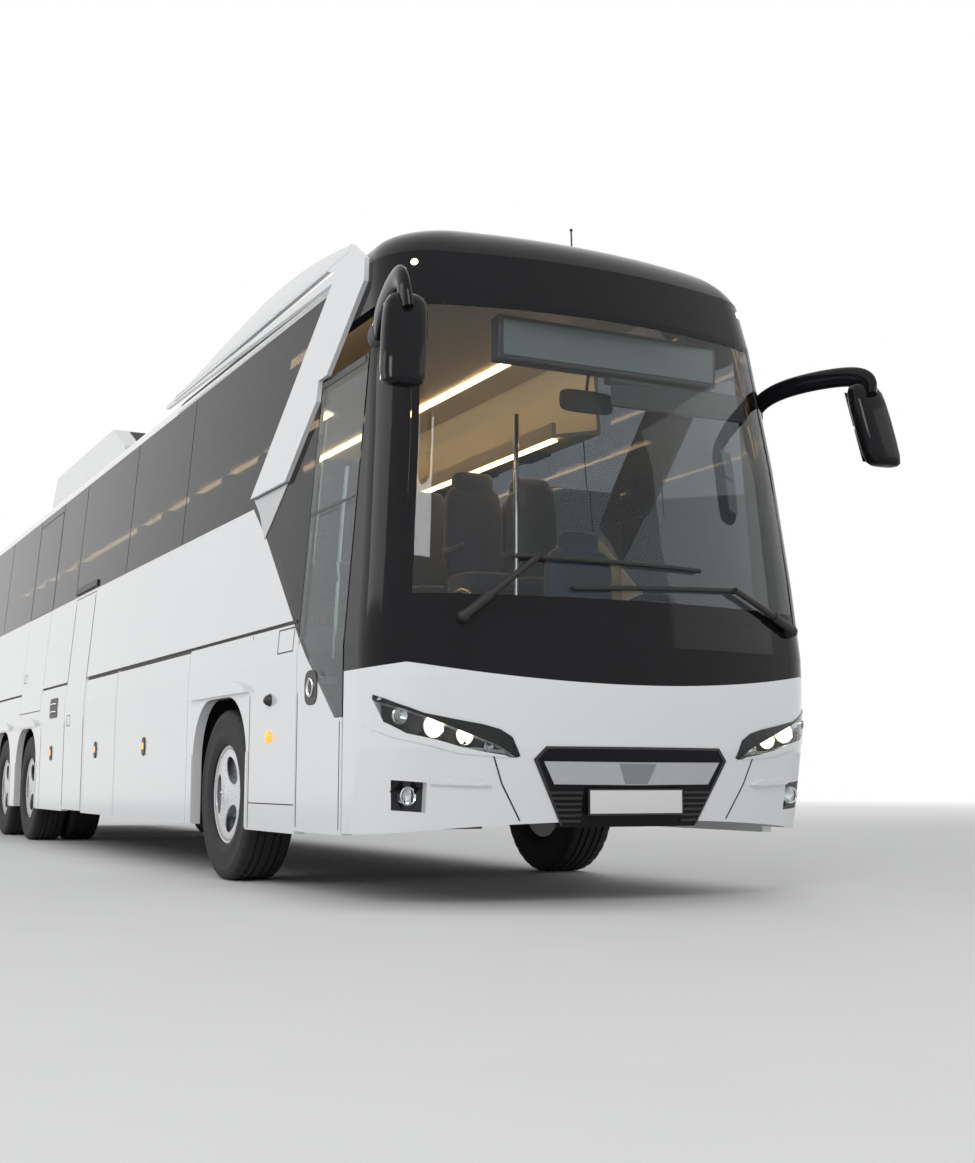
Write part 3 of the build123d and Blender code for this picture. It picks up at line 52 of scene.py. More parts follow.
DECK_TOP = 1.482
SEAT_RAIL_Z = 1.795
SEAT_ROWS = 14
SEAT_PITCH = 0.79
SEAT_WIDTH = 0.43
REAR_LAMP_X = 0.99
ROOF_UNIT_TOP = 3.87
SKIN_STAND = 0.0015
WELD_DISTANCE = 1e-5
SHARP_ANGLE = 38
PAD_POWER = 5.0
# Distances from which the faces are looked for: ahead or behind, beside and above
AHEAD, ASIDE, ABOVE = 9, 3, 6

# Camera solved from the photograph: place, and angles in degrees
CAMERA_PLACE = (-3.96, -13.085, 0.61)
CAMERA_YAW = 26.57
CAMERA_PITCH = 7.4
CAMERA_ROLL = 0.13
CAMERA_LENS = 46.96
SENSOR_WIDTH = 36

# Floor: half its side, and the distances between which it fades to white
FLOOR_HALF = 90
FADE_START, FADE_END = 11.0, 34.0


# Materials
def set_inputs(made, **inputs):
    """Sets named inputs of a shader node."""
    for key, value in inputs.items():
        made.inputs[key.replace("_", " ")].default_value = value
    return made


def node(tree, kind, **inputs):
    """Adds a shader node and sets its named inputs."""
    return set_inputs(tree.nodes.new(kind), **inputs)


def link(source, output, target, socket):
    """Joins an output of one node to an input of another in the same tree."""
    source.id_data.links.new(source.outputs[output], target.inputs[socket])


def surface(name, colour, roughness, grain, vary=0.06, metallic=0.0, bump=0.0, rough_vary=0.05, **sockets):
    """Principled material whose colour, roughness and relief vary a little with noise."""
    material = bpy.data.materials.new(name)
    material.use_nodes = True
    tree = material.node_tree
    shader = set_inputs(tree.nodes["Principled BSDF"], Metallic=metallic, **sockets)
    place = node(tree, "ShaderNodeTexCoord")
    speckle = node(tree, "ShaderNodeTexNoise", Scale=grain, Detail=4.0)
    link(place, "Object", speckle, "Vector")
    ramp = node(tree, "ShaderNodeValToRGB")
    dark, light = ramp.color_ramp.elements
    dark.position, light.position = 0.3, 0.7
    dark.color = [value * (1 - vary) for value in colour] + [1]
    light.color = [min(1, value * (1 + vary)) for value in colour] + [1]
    link(speckle, "Fac", ramp, "Fac")
    link(ramp, "Color", shader, "Base Color")
    spread = node(tree, "ShaderNodeMapRange", To_Min=max(0.0, roughness - rough_vary),
                  To_Max=min(1.0, roughness + rough_vary))
    link(speckle, "Fac", spread, "Value")
    link(spread, "Result", shader, "Roughness")
    if bump:
        relief = node(tree, "ShaderNodeBump", Strength=bump, Distance=0.002)
        link(speckle, "Fac", relief, "Height")
        link(relief, "Normal", shader, "Normal")
    return material


def glow(name, colour, strength):
    """Lit lamp face with a faint cell pattern."""
    material = surface(name, colour, 0.3, 90.0)
    set_inputs(material.node_tree.nodes["Principled BSDF"], Emission_Color=(*colour, 1), Emission_Strength=strength)
    return material


WHITE = surface("white_paint", (0.8, 0.81, 0.82), 0.16, 1.3, 0.012, rough_vary=0.03, Coat_Weight=0.6,
                Coat_Roughness=0.04)
BLACK = surface("black_gloss", (0.008, 0.008, 0.01), 0.07, 2.0, 0.1, rough_vary=0.02, Specular_IOR_Level=0.16)
SILVER = surface("silver_paint", (0.52, 0.53, 0.54), 0.28, 900.0, 0.05, metallic=0.65)
TINTED = surface("tinted_glass", (0.04, 0.044, 0.05), 0.03, 1.5, 0.1, rough_vary=0.01, Transmission_Weight=1.0,
                 IOR=1.2)
DOOR_GLASS = surface("door_glass", (0.42, 0.5, 0.52), 0.02, 1.5, 0.05, rough_vary=0.01, Transmission_Weight=1.0,
                     IOR=1.3)
CLEAR = surface("clear_glass", (0.8, 0.84, 0.84), 0.012, 1.2, 0.01, rough_vary=0.005, Transmission_Weight=1.0,
                IOR=1.3)
PLASTIC = surface("black_plastic", (0.022, 0.022, 0.024), 0.42, 420.0, 0.15, bump=0.15)
SEAL = surface("black_rubber", (0.012, 0.012, 0.012), 0.6, 200.0, 0.15, bump=0.1)
STEEL = surface("dark_steel", (0.045, 0.045, 0.05), 0.5, 60.0, 0.25, metallic=0.3, bump=0.2)
IRON = surface("cast_iron", (0.12, 0.12, 0.125), 0.6, 160.0, 0.2, metallic=0.6, bump=0.5)
CHROME = surface("bright_metal", (0.75, 0.76, 0.77), 0.12, 30.0, 0.03, metallic=1.0)
RUBBER = surface("tyre_rubber", (0.013, 0.013, 0.014), 0.72, 240.0, 0.25, bump=0.35)
WHEEL = surface("wheel_silver", (0.76, 0.77, 0.78), 0.28, 120.0, 0.05, metallic=0.2, bump=0.05)
# CAD rims behind the cover: partly their own grey metal, partly painted shade, kept darker than the silver cover so
# the cover's ovals look deep
SHADED_RIM = surface("rim_metal_painted_shade", (0.36, 0.37, 0.39), 0.38, 120.0, 0.12, metallic=0.4, bump=0.1)
FLOOR = surface("floor_vinyl", (0.11, 0.11, 0.12), 0.55, 300.0, 0.35, bump=0.2)
FABRIC = surface("seat_fabric", (0.06, 0.075, 0.125), 0.85, 650.0, 0.45, bump=0.6, Sheen_Weight=0.4)
TRIM = surface("light_trim", (0.52, 0.5, 0.46), 0.5, 260.0, 0.05, bump=0.15)
DASH = surface("dash_plastic", (0.035, 0.035, 0.038), 0.5, 500.0, 0.2, bump=0.3)
RED_LENS = surface("red_lens", (0.42, 0.015, 0.012), 0.12, 80.0, 0.12, Coat_Weight=0.5)
AMBER = surface("amber_lens", (0.85, 0.28, 0.02), 0.15, 80.0, 0.1, Coat_Weight=0.4)
MIRROR = surface("mirror_glass", (0.86, 0.87, 0.88), 0.02, 2.0, 0.01, metallic=1.0, rough_vary=0.005)
PLATE = surface("plate_white", (0.72, 0.72, 0.71), 0.4, 70.0, 0.03, bump=0.05)
LAMP_GLOW = glow("lamp_glow", (1.0, 0.9, 0.62), 5.0)
STRIP_GLOW = glow("marker_glow", (1.0, 0.86, 0.66), 2.2)
MARKER_GLOW = glow("marker_amber", (1.0, 0.36, 0.05), 1.1)
CABIN_GLOW = glow("cabin_glow", (1.0, 0.66, 0.32), 9.0)

# The finish that each slot of the record gives to its CAD nodes
SLOT_FINISHES = {
    "white_paint": WHITE, "black_gloss": BLACK, "tinted_glass": TINTED, "windscreen_glass": CLEAR,
    "lamp_lens": CLEAR, "rear_lamp_lens": RED_LENS, "black_plastic": PLASTIC, "dark_steel": STEEL,
    "engine_iron": IRON, "tyre_rubber": RUBBER, "wheel_silver": SHADED_RIM, "floor_vinyl": FLOOR,
    "seat_fabric": FABRIC, "dash_plastic": DASH, "rack_trim": TRIM,
}
# Record slot that goes with each finish, by the finish's name
PIECE_SLOTS = {finish.name: slot for slot, finish in SLOT_FINISHES.items()}
for slot, finishes in (
    ("white_paint", [PLATE]), ("black_plastic", [SEAL]), ("wheel_silver", [CHROME, SILVER, WHEEL]),
    ("windscreen_glass", [MIRROR]), ("rear_lamp_lens", [AMBER, MARKER_GLOW]),
    ("lamp_lens", [LAMP_GLOW, STRIP_GLOW, CABIN_GLOW]),
):
    PIECE_SLOTS.update({finish.name: slot for finish in finishes})
for part in frame["record"]["subparts"]:
    shown = frame["nodes"][part["node"]]
    finish = SLOT_FINISHES[part["material_slot"]]
    shown.data.materials.clear()
    shown.data.materials.append(DOOR_GLASS if part["node"] == "front_door_glass" else finish)


# Building blocks
def add_object(name, data):
    """New object in the scene."""
    thing = bpy.data.objects.new(name, data)
    bpy.context.scene.collection.objects.link(thing)
    return thing


def weld(mesh):
    """Joins vertices that meet and turns the faces outward."""
    tidy = bmesh.new()
    tidy.from_mesh(mesh)
    bmesh.ops.remove_doubles(tidy, verts=tidy.verts, dist=WELD_DISTANCE)
    bmesh.ops.recalc_face_normals(tidy, faces=tidy.faces)
    tidy.to_mesh(mesh)
    tidy.free()


def piece(name, finish, *shapes, body="coach_body", slot=None, replaces=()):
    """Smooth piece made of shapes, each a list of vertices and one of faces, that rides on a body."""
    verts, faces = joined(shapes)
    mesh = bpy.data.meshes.new(name)
    mesh.from_pydata([tuple(v) for v in verts], [], faces)
    mesh.validate()
    thing = add_object(name, mesh)
    mesh.materials.append(finish)
    weld(mesh)
    mesh.polygons.foreach_set("use_smooth", [True] * len(mesh.polygons))
    mesh.set_sharp_from_angle(angle=radians(SHARP_ANGLE))
    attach(thing, body)
    if replaces:
        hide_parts(*replaces)
    return thing


def joined(parts):
    """One list of vertices and faces from several."""
    verts, faces = [], []
    for part_verts, part_faces in parts:
        start = len(verts)
        verts += part_verts
        faces += [tuple(i + start for i in face) for face in part_faces]
    return verts, faces


def turned_faces(steps, count):
    """Faces between copies of a profile turned all the way round."""
    faces = []
    for step in range(steps):
        start, follow = step * count, (step + 1) % steps * count
        for index in range(count - 1):
            faces.append((start + index, start + index + 1, follow + index + 1, follow + index))
    return faces


def ring_faces(levels, count):
    """Faces between closed rings of points, one after another."""
    faces = []
    for start in range(0, (levels - 1) * count, count):
        for index in range(count):
            follow = (index + 1) % count
            faces.append((start + index, start + follow, start + count + follow, start + count + index))
    return faces


def listed(grown):
    """Vertices and faces of a bmesh, which is then freed."""
    grown.verts.index_update()
    result = [tuple(v.co) for v in grown.verts], [tuple(v.index for v in f.verts) for f in grown.faces]
    grown.free()
    return result


def lathe(profile, origin, side, steps, shape=None):
    """Turned ring about the X axis through origin; profile is (distance outward, radius)."""
    verts = []
    for step in range(steps):
        angle = 2 * pi * step / steps
        for out, radius in profile:
            if shape:
                radius = shape(step, out, radius)
            verts.append((origin[0] + side * out, origin[1] + radius * cos(angle),
                          origin[2] + radius * sin(angle)))
    return verts, turned_faces(steps, len(profile))


def block(low, high, bevel):
    """Box between two corners, with chamfered edges."""
    grown = bmesh.new()
    bmesh.ops.create_cube(grown, size=1.0)
    middle = [(a + b) / 2 for a, b in zip(low, high)]
    for vert in grown.verts:
        vert.co = Vector([m + c * (b - a) for m, c, a, b in zip(middle, vert.co, low, high)])
    bmesh.ops.bevel(grown, geom=grown.edges[:], offset=bevel, segments=3, affect="EDGES", profile=0.6)
    return listed(grown)


def tube(points, radius, sides=12, tall=1.0):
    """Round bar along points, closed at both ends; tall makes it a blade."""
    verts = []
    points = [Vector(point) for point in points]
    for index, point in enumerate(points):
        before = points[max(index - 1, 0)]
        after = points[min(index + 1, len(points) - 1)]
        along = (after - before).normalized()
        across = along.cross(Vector((0, 0, 1)))
        across = across.normalized() if across.length > 0.05 else Vector((1, 0, 0))
        lift = across.cross(along)
        for turn in range(sides):
            angle = 2 * pi * turn / sides
            verts.append(tuple(point + radius * (across * cos(angle) + lift * sin(angle) * tall)))
    ends = [tuple(range(sides)), tuple(reversed(range(len(verts) - sides, len(verts))))]
    return verts, ring_faces(len(points), sides) + ends


def hunter(names, start, way):
    """Finds where a line from outside first meets the named CAD nodes."""
    trees = []
    for name in names:
        source = frame["nodes"][name]
        places = [source.matrix_world @ v.co for v in source.data.vertices]
        trees.append(BVHTree.FromPolygons(places, [p.vertices for p in source.data.polygons]))

    def hit(a, b):
        for reach in (0, 0.0015, 0.004, 0.009, 0.02, 0.05, 0.1):
            for step_a, step_b in ((0, -1), (0, 1), (-1, 0), (1, 0)):
                origin = start(a + step_a * reach, b + step_b * reach)
                finds = [tree.ray_cast(origin, way) for tree in trees]
                finds = [find for find in finds if find[0]]
                if finds:
                    place, normal, index, distance = min(finds, key=lambda find: find[3])
                    return place + start(a, b) - origin, normal
        raise ValueError(f"nothing under {a}, {b}")

    return hit


FRONT_NODES = ("front_bumper", "front_grille", "front_lamps", "lower_front_panel", "windscreen", "front_pillars",
               "roof_front_cap", "roof_shell")
SIDE_NODES = ("side_wall_{0}", "side_glass_{0}", "front_bumper", "front_grille", "lower_front_panel",
              "front_pillars", "roof_front_cap", "roof_shell", "rear_wall", "rear_bumper", "front_lamps")
RIGHT_MOVING = ("front_door", "front_door_glass", "mid_door", "lift_door", "lift_door_glass", "flap_right_1",
                "flap_right_2")
LEFT_MOVING = ("flap_left_1", "flap_left_2", "flap_left_3")


def from_side(side):
    """Start and way of the lines that look for a face from one side."""
    return lambda y, z: Vector((side * ASIDE, y, z)), Vector((-side, 0, 0))


FROM_FRONT = (lambda x, z: Vector((x, -AHEAD, z)), Vector((0, 1, 0)))
front_hit = hunter(FRONT_NODES, *FROM_FRONT)
screen_hit = hunter(("windscreen", "front_pillars", "lower_front_panel", "roof_front_cap"), *FROM_FRONT)
lamp_hit = hunter(("front_lamps",), *FROM_FRONT)
rear_hit = hunter(("rear_wall", "rear_bumper", "rear_window", "engine_lid", "rear_lamps"),
                  lambda x, z: Vector((x, AHEAD, z)), Vector((0, -1, 0)))
right_hit = hunter([*[name.format("right") for name in SIDE_NODES], *RIGHT_MOVING], *from_side(-1))
left_hit = hunter([*[name.format("left") for name in SIDE_NODES], *LEFT_MOVING], *from_side(1))
roof_hit = hunter(("roof_front_cap", "roof_shell", "rear_wall", "roof_unit"),
                  lambda x, y: Vector((x, y, ABOVE)), Vector((0, 0, -1)))


def patch(outline, hit, stand=SKIN_STAND, depth=0.004, step=0.06):
    """Thin plate with an outline drawn on a face of the coach, following the face; returns vertices and faces."""
    flat = bmesh.new()
    corners = [flat.verts.new((a, b, 0)) for a, b in outline]
    flat.faces.new(corners)
    for axis, normal in enumerate((Vector((1, 0, 0)), Vector((0, 1, 0)))):
        low = min(point[axis] for point in outline)
        high = max(point[axis] for point in outline)
        count = int((high - low) / step)
        for cut in range(1, count + 1):
            at = low + (high - low) * cut / (count + 1)
            bmesh.ops.bisect_plane(flat, geom=flat.verts[:] + flat.edges[:] + flat.faces[:],
                                   plane_co=normal * at, plane_no=normal, dist=1e-6)
    flat.verts.index_update()
    outer, inner = [], []
    for vert in flat.verts:
        place, normal = hit(vert.co.x, vert.co.y)
        outer.append(tuple(place + normal * stand))
        inner.append(tuple(place - normal * (depth - stand)))
    count = len(outer)
    faces = [tuple(v.index for v in f.verts) for f in flat.faces]
    under = [tuple(index + count for index in reversed(face)) for face in faces]
    rims = []
    for edge in flat.edges:
        if len(edge.link_faces) == 1:
            a, b = edge.verts[0].index, edge.verts[1].index
            rims.append((a, b, b + count, a + count))
    flat.free()
    return outer + inner, faces + under + rims


def line_outline(start, end, width):
    """Outline of a narrow straight band, for shut lines and seams."""
    start, end = Vector(start), Vector(end)
    along = (end - start).normalized()
    aside = Vector((-along.y, along.x)) * width / 2
    return [tuple(point) for point in (start + aside, end + aside, end - aside, start - aside)]


def turned(profile, origin, axis, steps):
    """Turned form about any axis through origin; profile is (distance along the axis, radius)."""
    along = Vector(axis).normalized()
    across = along.orthogonal().normalized()
    lift = along.cross(across)
    verts = []
    for step in range(steps):
        angle = 2 * pi * step / steps
        spoke = across * cos(angle) + lift * sin(angle)
        verts += [tuple(Vector(origin) + along * out + spoke * radius) for out, radius in profile]
    return verts, turned_faces(steps, len(profile))


def scaled(profile, size):
    """Profile with its radii multiplied by a size."""
    return [(out, radius * size) for out, radius in profile]


def stacked(rings):
    """Skin over closed rings of points, one above another, with both ends closed."""
    count = len(rings[0])
    verts = [tuple(point) for ring in rings for point in ring]
    low_end, high_end = tuple(reversed(range(count))), tuple(range(len(verts) - count, len(verts)))
    return verts, [low_end, *ring_faces(len(rings), count), high_end]


def rounded_ring(centre, half_x, half_y, power, count):
    """Ring of points on a rounded rectangle at the height of its centre."""
    ring = []
    for index in range(count):
        angle = 2 * pi * index / count
        c, s = cos(angle), sin(angle)
        x = half_x * abs(c) ** (2 / power) * (1 if c > 0 else -1)
        y = half_y * abs(s) ** (2 / power) * (1 if s > 0 else -1)
        ring.append(Vector((centre[0] + x, centre[1] + y, centre[2])))
    return ring


def oval_outline(a, b, half_a, half_b, power=2.6, count=20):
    """Closed oval round a point of a face."""
    return [(point.x, point.y) for point in rounded_ring((a, b, 0), half_a, half_b, power, count)]


def oblong(low_a, low_b, high_a, high_b):
    """Outline of a rectangle between two corners."""
    return [(low_a, low_b), (high_a, low_b), (high_a, high_b), (low_a, high_b)]


def both(outline):
    """An outline drawn from the front and its mirror image."""
    return [outline, [(-a, b) for a, b in reversed(outline)]]


def mirrored(outline, hit, *sizes):
    """Thin plates for an outline and for its mirror image."""
    return [patch(shape, hit, *sizes) for shape in both(outline)]


# Tyres: ribbed tread with notched shoulders, and sidewalls with two raised rings
HALF_TYRE = (
    (0.104, 0.29), (0.132, 0.298), (0.145, 0.322), (0.1475, 0.345), (0.149, 0.352), (0.149, 0.362), (0.1475, 0.369),
    (0.149, 0.41), (0.148, 0.44), (0.149, 0.446), (0.149, 0.456), (0.1465, 0.462), (0.143, 0.484), (0.137, 0.498),
    (0.126, 0.508), (0.112, 0.512), (0.08, 0.512), (0.077, 0.499), (0.068, 0.499), (0.065, 0.512), (0.035, 0.512),
    (0.032, 0.499), (0.023, 0.499), (0.02, 0.512),
)
TYRE_PROFILE = [*HALF_TYRE, *[(-out, radius) for out, radius in reversed(HALF_TYRE)], HALF_TYRE[0]]
TYRE_STEPS = 144


def notched(step, out, radius):
    """Cuts notches into the shoulders and fine slits into the middle rib."""
    if abs(out) > 0.075 and radius > 0.495 and step % 4 == 0:
        radius -= 0.009
    if abs(out) < 0.036 and radius > 0.505 and step % 4 == 2:
        radius -= 0.005
    return radius


RIM_LIP = ((0.098, 0.29), (0.112, 0.297), (0.12, 0.294), (0.121, 0.287), (0.117, 0.28), (0.098, 0.279), (0.098, 0.29))
COVER = (
    (0.104, 0.28), (0.112, 0.279), (0.1185, 0.272), (0.1215, 0.258), (0.1225, 0.225), (0.1245, 0.17), (0.128, 0.11),
    (0.1315, 0.062), (0.1335, 0.052), (0.1365, 0.045), (0.138, 0.02), (0.1382, 0.0),
)
COVER_THICKNESS = 0.006
# Windows of the cover: their directions, their middles' distance from the hub, and half sizes of hole and bead
OVAL_PLACES = (0, 120, 240)
OVAL_REACH = 0.166
HOLE_HALVES = (0.122, 0.066)
BEAD_HALVES = (0.124, 0.068)


def oval(angle, half_long, half_short, count=56):
    """Loop of points on one of the cover's ovals, rearward of the hub at angle zero."""
    loop = []
    for turn in range(count):
        bend = 2 * pi * turn / count
        out = OVAL_REACH + half_short * cos(bend)
        along = half_long * sin(bend)
        loop.append((out * cos(angle) - along * sin(angle), out * sin(angle) + along * cos(angle)))
    return loop


def pierced_cover():
    """Domed wheel cover, cut through by three ovals; returns vertices and faces about the wheel's middle."""
    skin = [*COVER, *[(out - COVER_THICKNESS, radius) for out, radius in reversed(COVER)], COVER[0]]
    things = []
    rings = []
    for place in OVAL_PLACES:
        loop = oval(radians(place), *HOLE_HALVES)
        rings.append(stacked([[(x, a, b) for a, b in loop] for x in (0.05, 0.2)]))
    for verts, faces in (lathe(skin, (0, 0, 0), 1, 120), joined(rings)):
        mesh = bpy.data.meshes.new("blank")
        mesh.from_pydata(verts, [], faces)
        weld(mesh)
        things.append(add_object("blank", mesh))
    cut = things[0].modifiers.new("cut", "BOOLEAN")
    cut.operation = "DIFFERENCE"
    cut.solver = "EXACT"
    cut.object = things[1]
    seen = things[0].evaluated_get(bpy.context.evaluated_depsgraph_get())
    result = bpy.data.meshes.new_from_object(seen)
    shape = [tuple(v.co) for v in result.vertices], [tuple(p.vertices) for p in result.polygons]
    for thing in things:
        bpy.data.objects.remove(thing)
    return shape


cover_verts, cover_faces = pierced_cover()
for name, axle_y in (("front", FRONT_AXLE_Y), ("drive", DRIVE_AXLE_Y), ("tag", TAG_AXLE_Y)):
    for side, hand in ((-1, "right"), (1, "left")):
        body = f"{name}_wheel_{hand}"
        centre = (side * WHEEL_X, axle_y, WHEEL_HEIGHT)
        rings = [lathe(TYRE_PROFILE, centre, side, TYRE_STEPS, notched)]
        if name == "drive":
            inner = (side * (WHEEL_X - TWIN_SPACING), axle_y, WHEEL_HEIGHT)
            rings.append(lathe(TYRE_PROFILE, inner, side, TYRE_STEPS, notched))
        piece(f"tyre_tread_{name}_{hand}", RUBBER, *rings, body=body, replaces=[f"tyre_{name}_{hand}"])
        placed = [(centre[0] + side * x, centre[1] + y, centre[2] + z) for x, y, z in cover_verts]
        trim = [lathe(RIM_LIP, centre, side, 96), (placed, cover_faces)]
        for place in OVAL_PLACES:
            loop = oval(radians(place), *BEAD_HALVES)
            edge = [(centre[0] + side * (0.1235 + 0.0035 * (OVAL_REACH - (a * a + b * b) ** 0.5) / 0.06),
                     centre[1] + a, centre[2] + b) for a, b in loop + loop[:1]]
            trim.append(tube(edge, 0.0032, 8))
        piece(f"wheel_cover_{name}_{hand}", WHEEL, *trim, body=body)
        valve = [(centre[0] + side * out, centre[1] + back, centre[2] + 0.01)
                 for out, back in ((0.088, 0.172), (0.112, 0.182))]
        piece(f"wheel_valve_{name}_{hand}", CHROME, tube(valve, 0.005, 10), body=body)

# Headlamps and fog lamps: dark bowls, chrome bezels, lit lenses and clear covers
LAMP = [(0.632, 0.706), (0.72, 0.762), (1.268, 0.979), (1.268, 0.849), (1.18, 0.8), (0.9, 0.728)]
FOG = [(1.027, 0.452), (1.032, 0.59), (1.178, 0.602), (1.168, 0.462)]
LAMP_TOP = [(1.247, 1.0), (1.172, 0.958), (1.062, 0.912), (0.921, 0.884), (0.796, 0.862), (0.716, 0.84),
            (0.657, 0.804)]
LAMP_COVER = [(0.614, 0.716), (0.689, 0.714), (0.778, 0.722), (0.897, 0.728), (0.988, 0.748), (1.129, 0.788),
              (1.212, 0.832), (1.24, 0.87), (1.25, 0.94), *LAMP_TOP]
LAMP_BROW = [(0.614, 0.714), (0.634, 0.708), (0.72, 0.763), (1.249, 0.9715), *LAMP_TOP]
LAMP_CORNER = [
    (0.66, 0.708), (0.9, 0.727), (1.18, 0.7985), (1.251, 0.838), (1.251, 0.99), (1.236, 0.94), (1.214, 0.872),
    (1.131, 0.817), (0.99, 0.785), (0.897, 0.757), (0.778, 0.733), (0.69, 0.72),
]
LAMP_END = [(-6.472, 0.834), (-6.4, 0.849), (-6.151, 0.8535), (-6.151, 0.9835), (-6.4, 0.982), (-6.472, 0.974)]
LAMP_GUIDE = [(0.68, 0.7215), (0.9, 0.7425), (1.17, 0.8115), (1.25, 0.861), (1.25, 0.874), (1.165, 0.825),
              (0.896, 0.7565), (0.682, 0.735)]
# Profiles of the lamp units: distance rearward, and radius as a share of the unit's size
BEZEL = ((0.03, 1.02), (-0.004, 1.12), (-0.008, 1.06), (-0.004, 0.96), (0.02, 0.8), (0.03, 0.78))
LENS = ((0.02, 0.9), (0.004, 0.84), (-0.006, 0.62), (-0.011, 0.32), (-0.013, 0.0))
SMALL_BOWL = ((0.024, 0.5), (0.02, 1), (-0.004, 1.2), (-0.007, 1.1), (-0.002, 1), (0.016, 0.5), (0.018, 0.0))
# Profiles of the fog lamps: distance rearward, and radius
FOG_BOWL = ((0.026, 0.04), (-0.004, 0.045), (-0.008, 0.042), (-0.004, 0.037), (0.016, 0.02), (0.018, 0.0))
FOG_COVER = ((0.0, 0.04), (-0.006, 0.034), (-0.009, 0.018), (-0.01, 0.0))
bowls = [patch(outline, lamp_hit, -0.052, 0.006, 0.05) for outline in both(LAMP) + both(FOG)]
covers = mirrored(LAMP_COVER, front_hit, 0.0055, 0.003, 0.04)
lamp_rims = mirrored(LAMP_BROW, front_hit, 0.0022, 0.004, 0.04)
lamp_ends = [patch(LAMP_END, hit, 0.0008, 0.045, 0.03) for hit in (right_hit, left_hit)]
lamp_ends += mirrored(LAMP_CORNER, front_hit, 0.0068, 0.006, 0.03)
bezels, lenses = [], []
piece("lamp_ends", WHITE, *lamp_ends)
piece("lamp_rims", BLACK, *lamp_rims)
for side in (-1, 1):
    for x, z, size in ((1.009, 0.852, 0.052), (0.868, 0.812, 0.044)):
        face = Vector((side * x, lamp_hit(side * x, z)[0].y + 0.03, z))
        bezels.append(turned(scaled(BEZEL, size), face, (side * 0.12, 1, 0), 48))
        lenses.append(turned(scaled(LENS, size), face, (side * 0.12, 1, 0), 40))
    for x, z, size in ((1.15, 0.9, 0.036), (0.755, 0.757, 0.022)):
        face = Vector((side * x, lamp_hit(side * x, z)[0].y + 0.032, z))
        bezels.append(turned(scaled(SMALL_BOWL, size), face, (side * 0.2, 1, 0), 40))
    face = Vector((side * 1.102, lamp_hit(side * 1.102, 0.528)[0].y + 0.02, 0.528))
    bezels.append(turned(FOG_BOWL, face, (side * 0.2, 1, 0), 40))
    covers.append(turned(FOG_COVER, face, (side * 0.2, 1, 0), 36))
guides = mirrored(LAMP_GUIDE, lamp_hit, -0.024, 0.008, 0.05)
piece("lamp_bowls", PLASTIC, *bowls, replaces=["front_lamps"])
piece("lamp_covers", CLEAR, *covers)
piece("lamp_bezels", CHROME, *bezels)
piece("lamp_lenses", LAMP_GLOW, *lenses)
piece("lamp_guides", SILVER, *guides, slot="lamp_lens")

# Grille: silver bar with a grey middle, slats below it and the blank plate
bar = [(0.498, 0.692), (0.437, 0.585), (0.0, 0.581), (-0.437, 0.585), (-0.498, 0.692), (0.0, 0.69)]
middle = [(0.104, 0.684), (0.062, 0.587), (-0.062, 0.587), (-0.104, 0.684)]
piece("grille_bar", SILVER, patch(bar, front_hit, 0.007, 0.009))
grey = surface("grey_panel", (0.27, 0.28, 0.31), 0.22, 300.0, metallic=0.3)
piece("grille_middle", grey, patch(middle, front_hit, 0.01, 0.005), slot="wheel_silver")
slats = []
for height in (0.405, 0.432, 0.459, 0.486, 0.513, 0.54):
    half = 0.392 + (height - 0.4) * 0.42
    outline = [(0.285, height), (half, height), (half + 0.004, height + 0.011), (0.285, height + 0.011)]
    slats += mirrored(outline, front_hit, 0.006, 0.008)
frame_outline = [(0.0, 0.7625), (0.492, 0.762), (0.548, 0.7), (0.384, 0.388), (0.374, 0.388), (0.528, 0.7),
                 (0.484, 0.75), (0.0, 0.7505)]
slats += mirrored(frame_outline, front_hit, 0.005, 0.007)
piece("grille_slats", PLASTIC, *slats)
piece("front_plate_holder", PLASTIC, block((-0.268, -6.785, 0.436), (0.268, -6.7795, 0.562), 0.002))
piece("front_number_plate", PLATE, block((-0.26, -6.7875, 0.445), (0.26, -6.781, 0.555), 0.0015))

# Windscreen: one thin curved sheet with a black printed edge
SCREEN = [(-1.148, 1.402), (1.148, 1.402), (1.0185, 2.988), (-1.0185, 2.988)]
piece("windscreen_sheet", CLEAR, patch(SCREEN, screen_hit, 0.0, 0.006, 0.09), slot="windscreen_glass",
      replaces=["windscreen"])
low_edge = [(-1.15, 1.4), (1.15, 1.4), (1.144, 1.475), (-1.144, 1.475)]
high_edge = [(-1.022, 2.955), (1.022, 2.955), (1.018, 2.99), (-1.018, 2.99)]
side_edges = both([(1.15, 1.4), (1.018, 2.99), (0.988, 2.99), (1.118, 1.4)])
edges = [patch(edge, screen_hit, 0.001, 0.009, 0.08) for edge in (low_edge, high_edge, *side_edges)]
piece("windscreen_edge", BLACK, *edges)


def lines(pairs, hit, width=0.008, stand=0.001, depth=0.003, step=0.4):
    """Thin dark bands on a face of the coach, one along each pair of points."""
    return joined([patch(line_outline(*pair, width), hit, stand, depth, step) for pair in pairs])


def loop_lines(corners, hit, width=0.007):
    """Thin band round a closed outline."""
    ends = corners[1:] + corners[:1]
    return lines(list(zip(corners, ends)), hit, width)


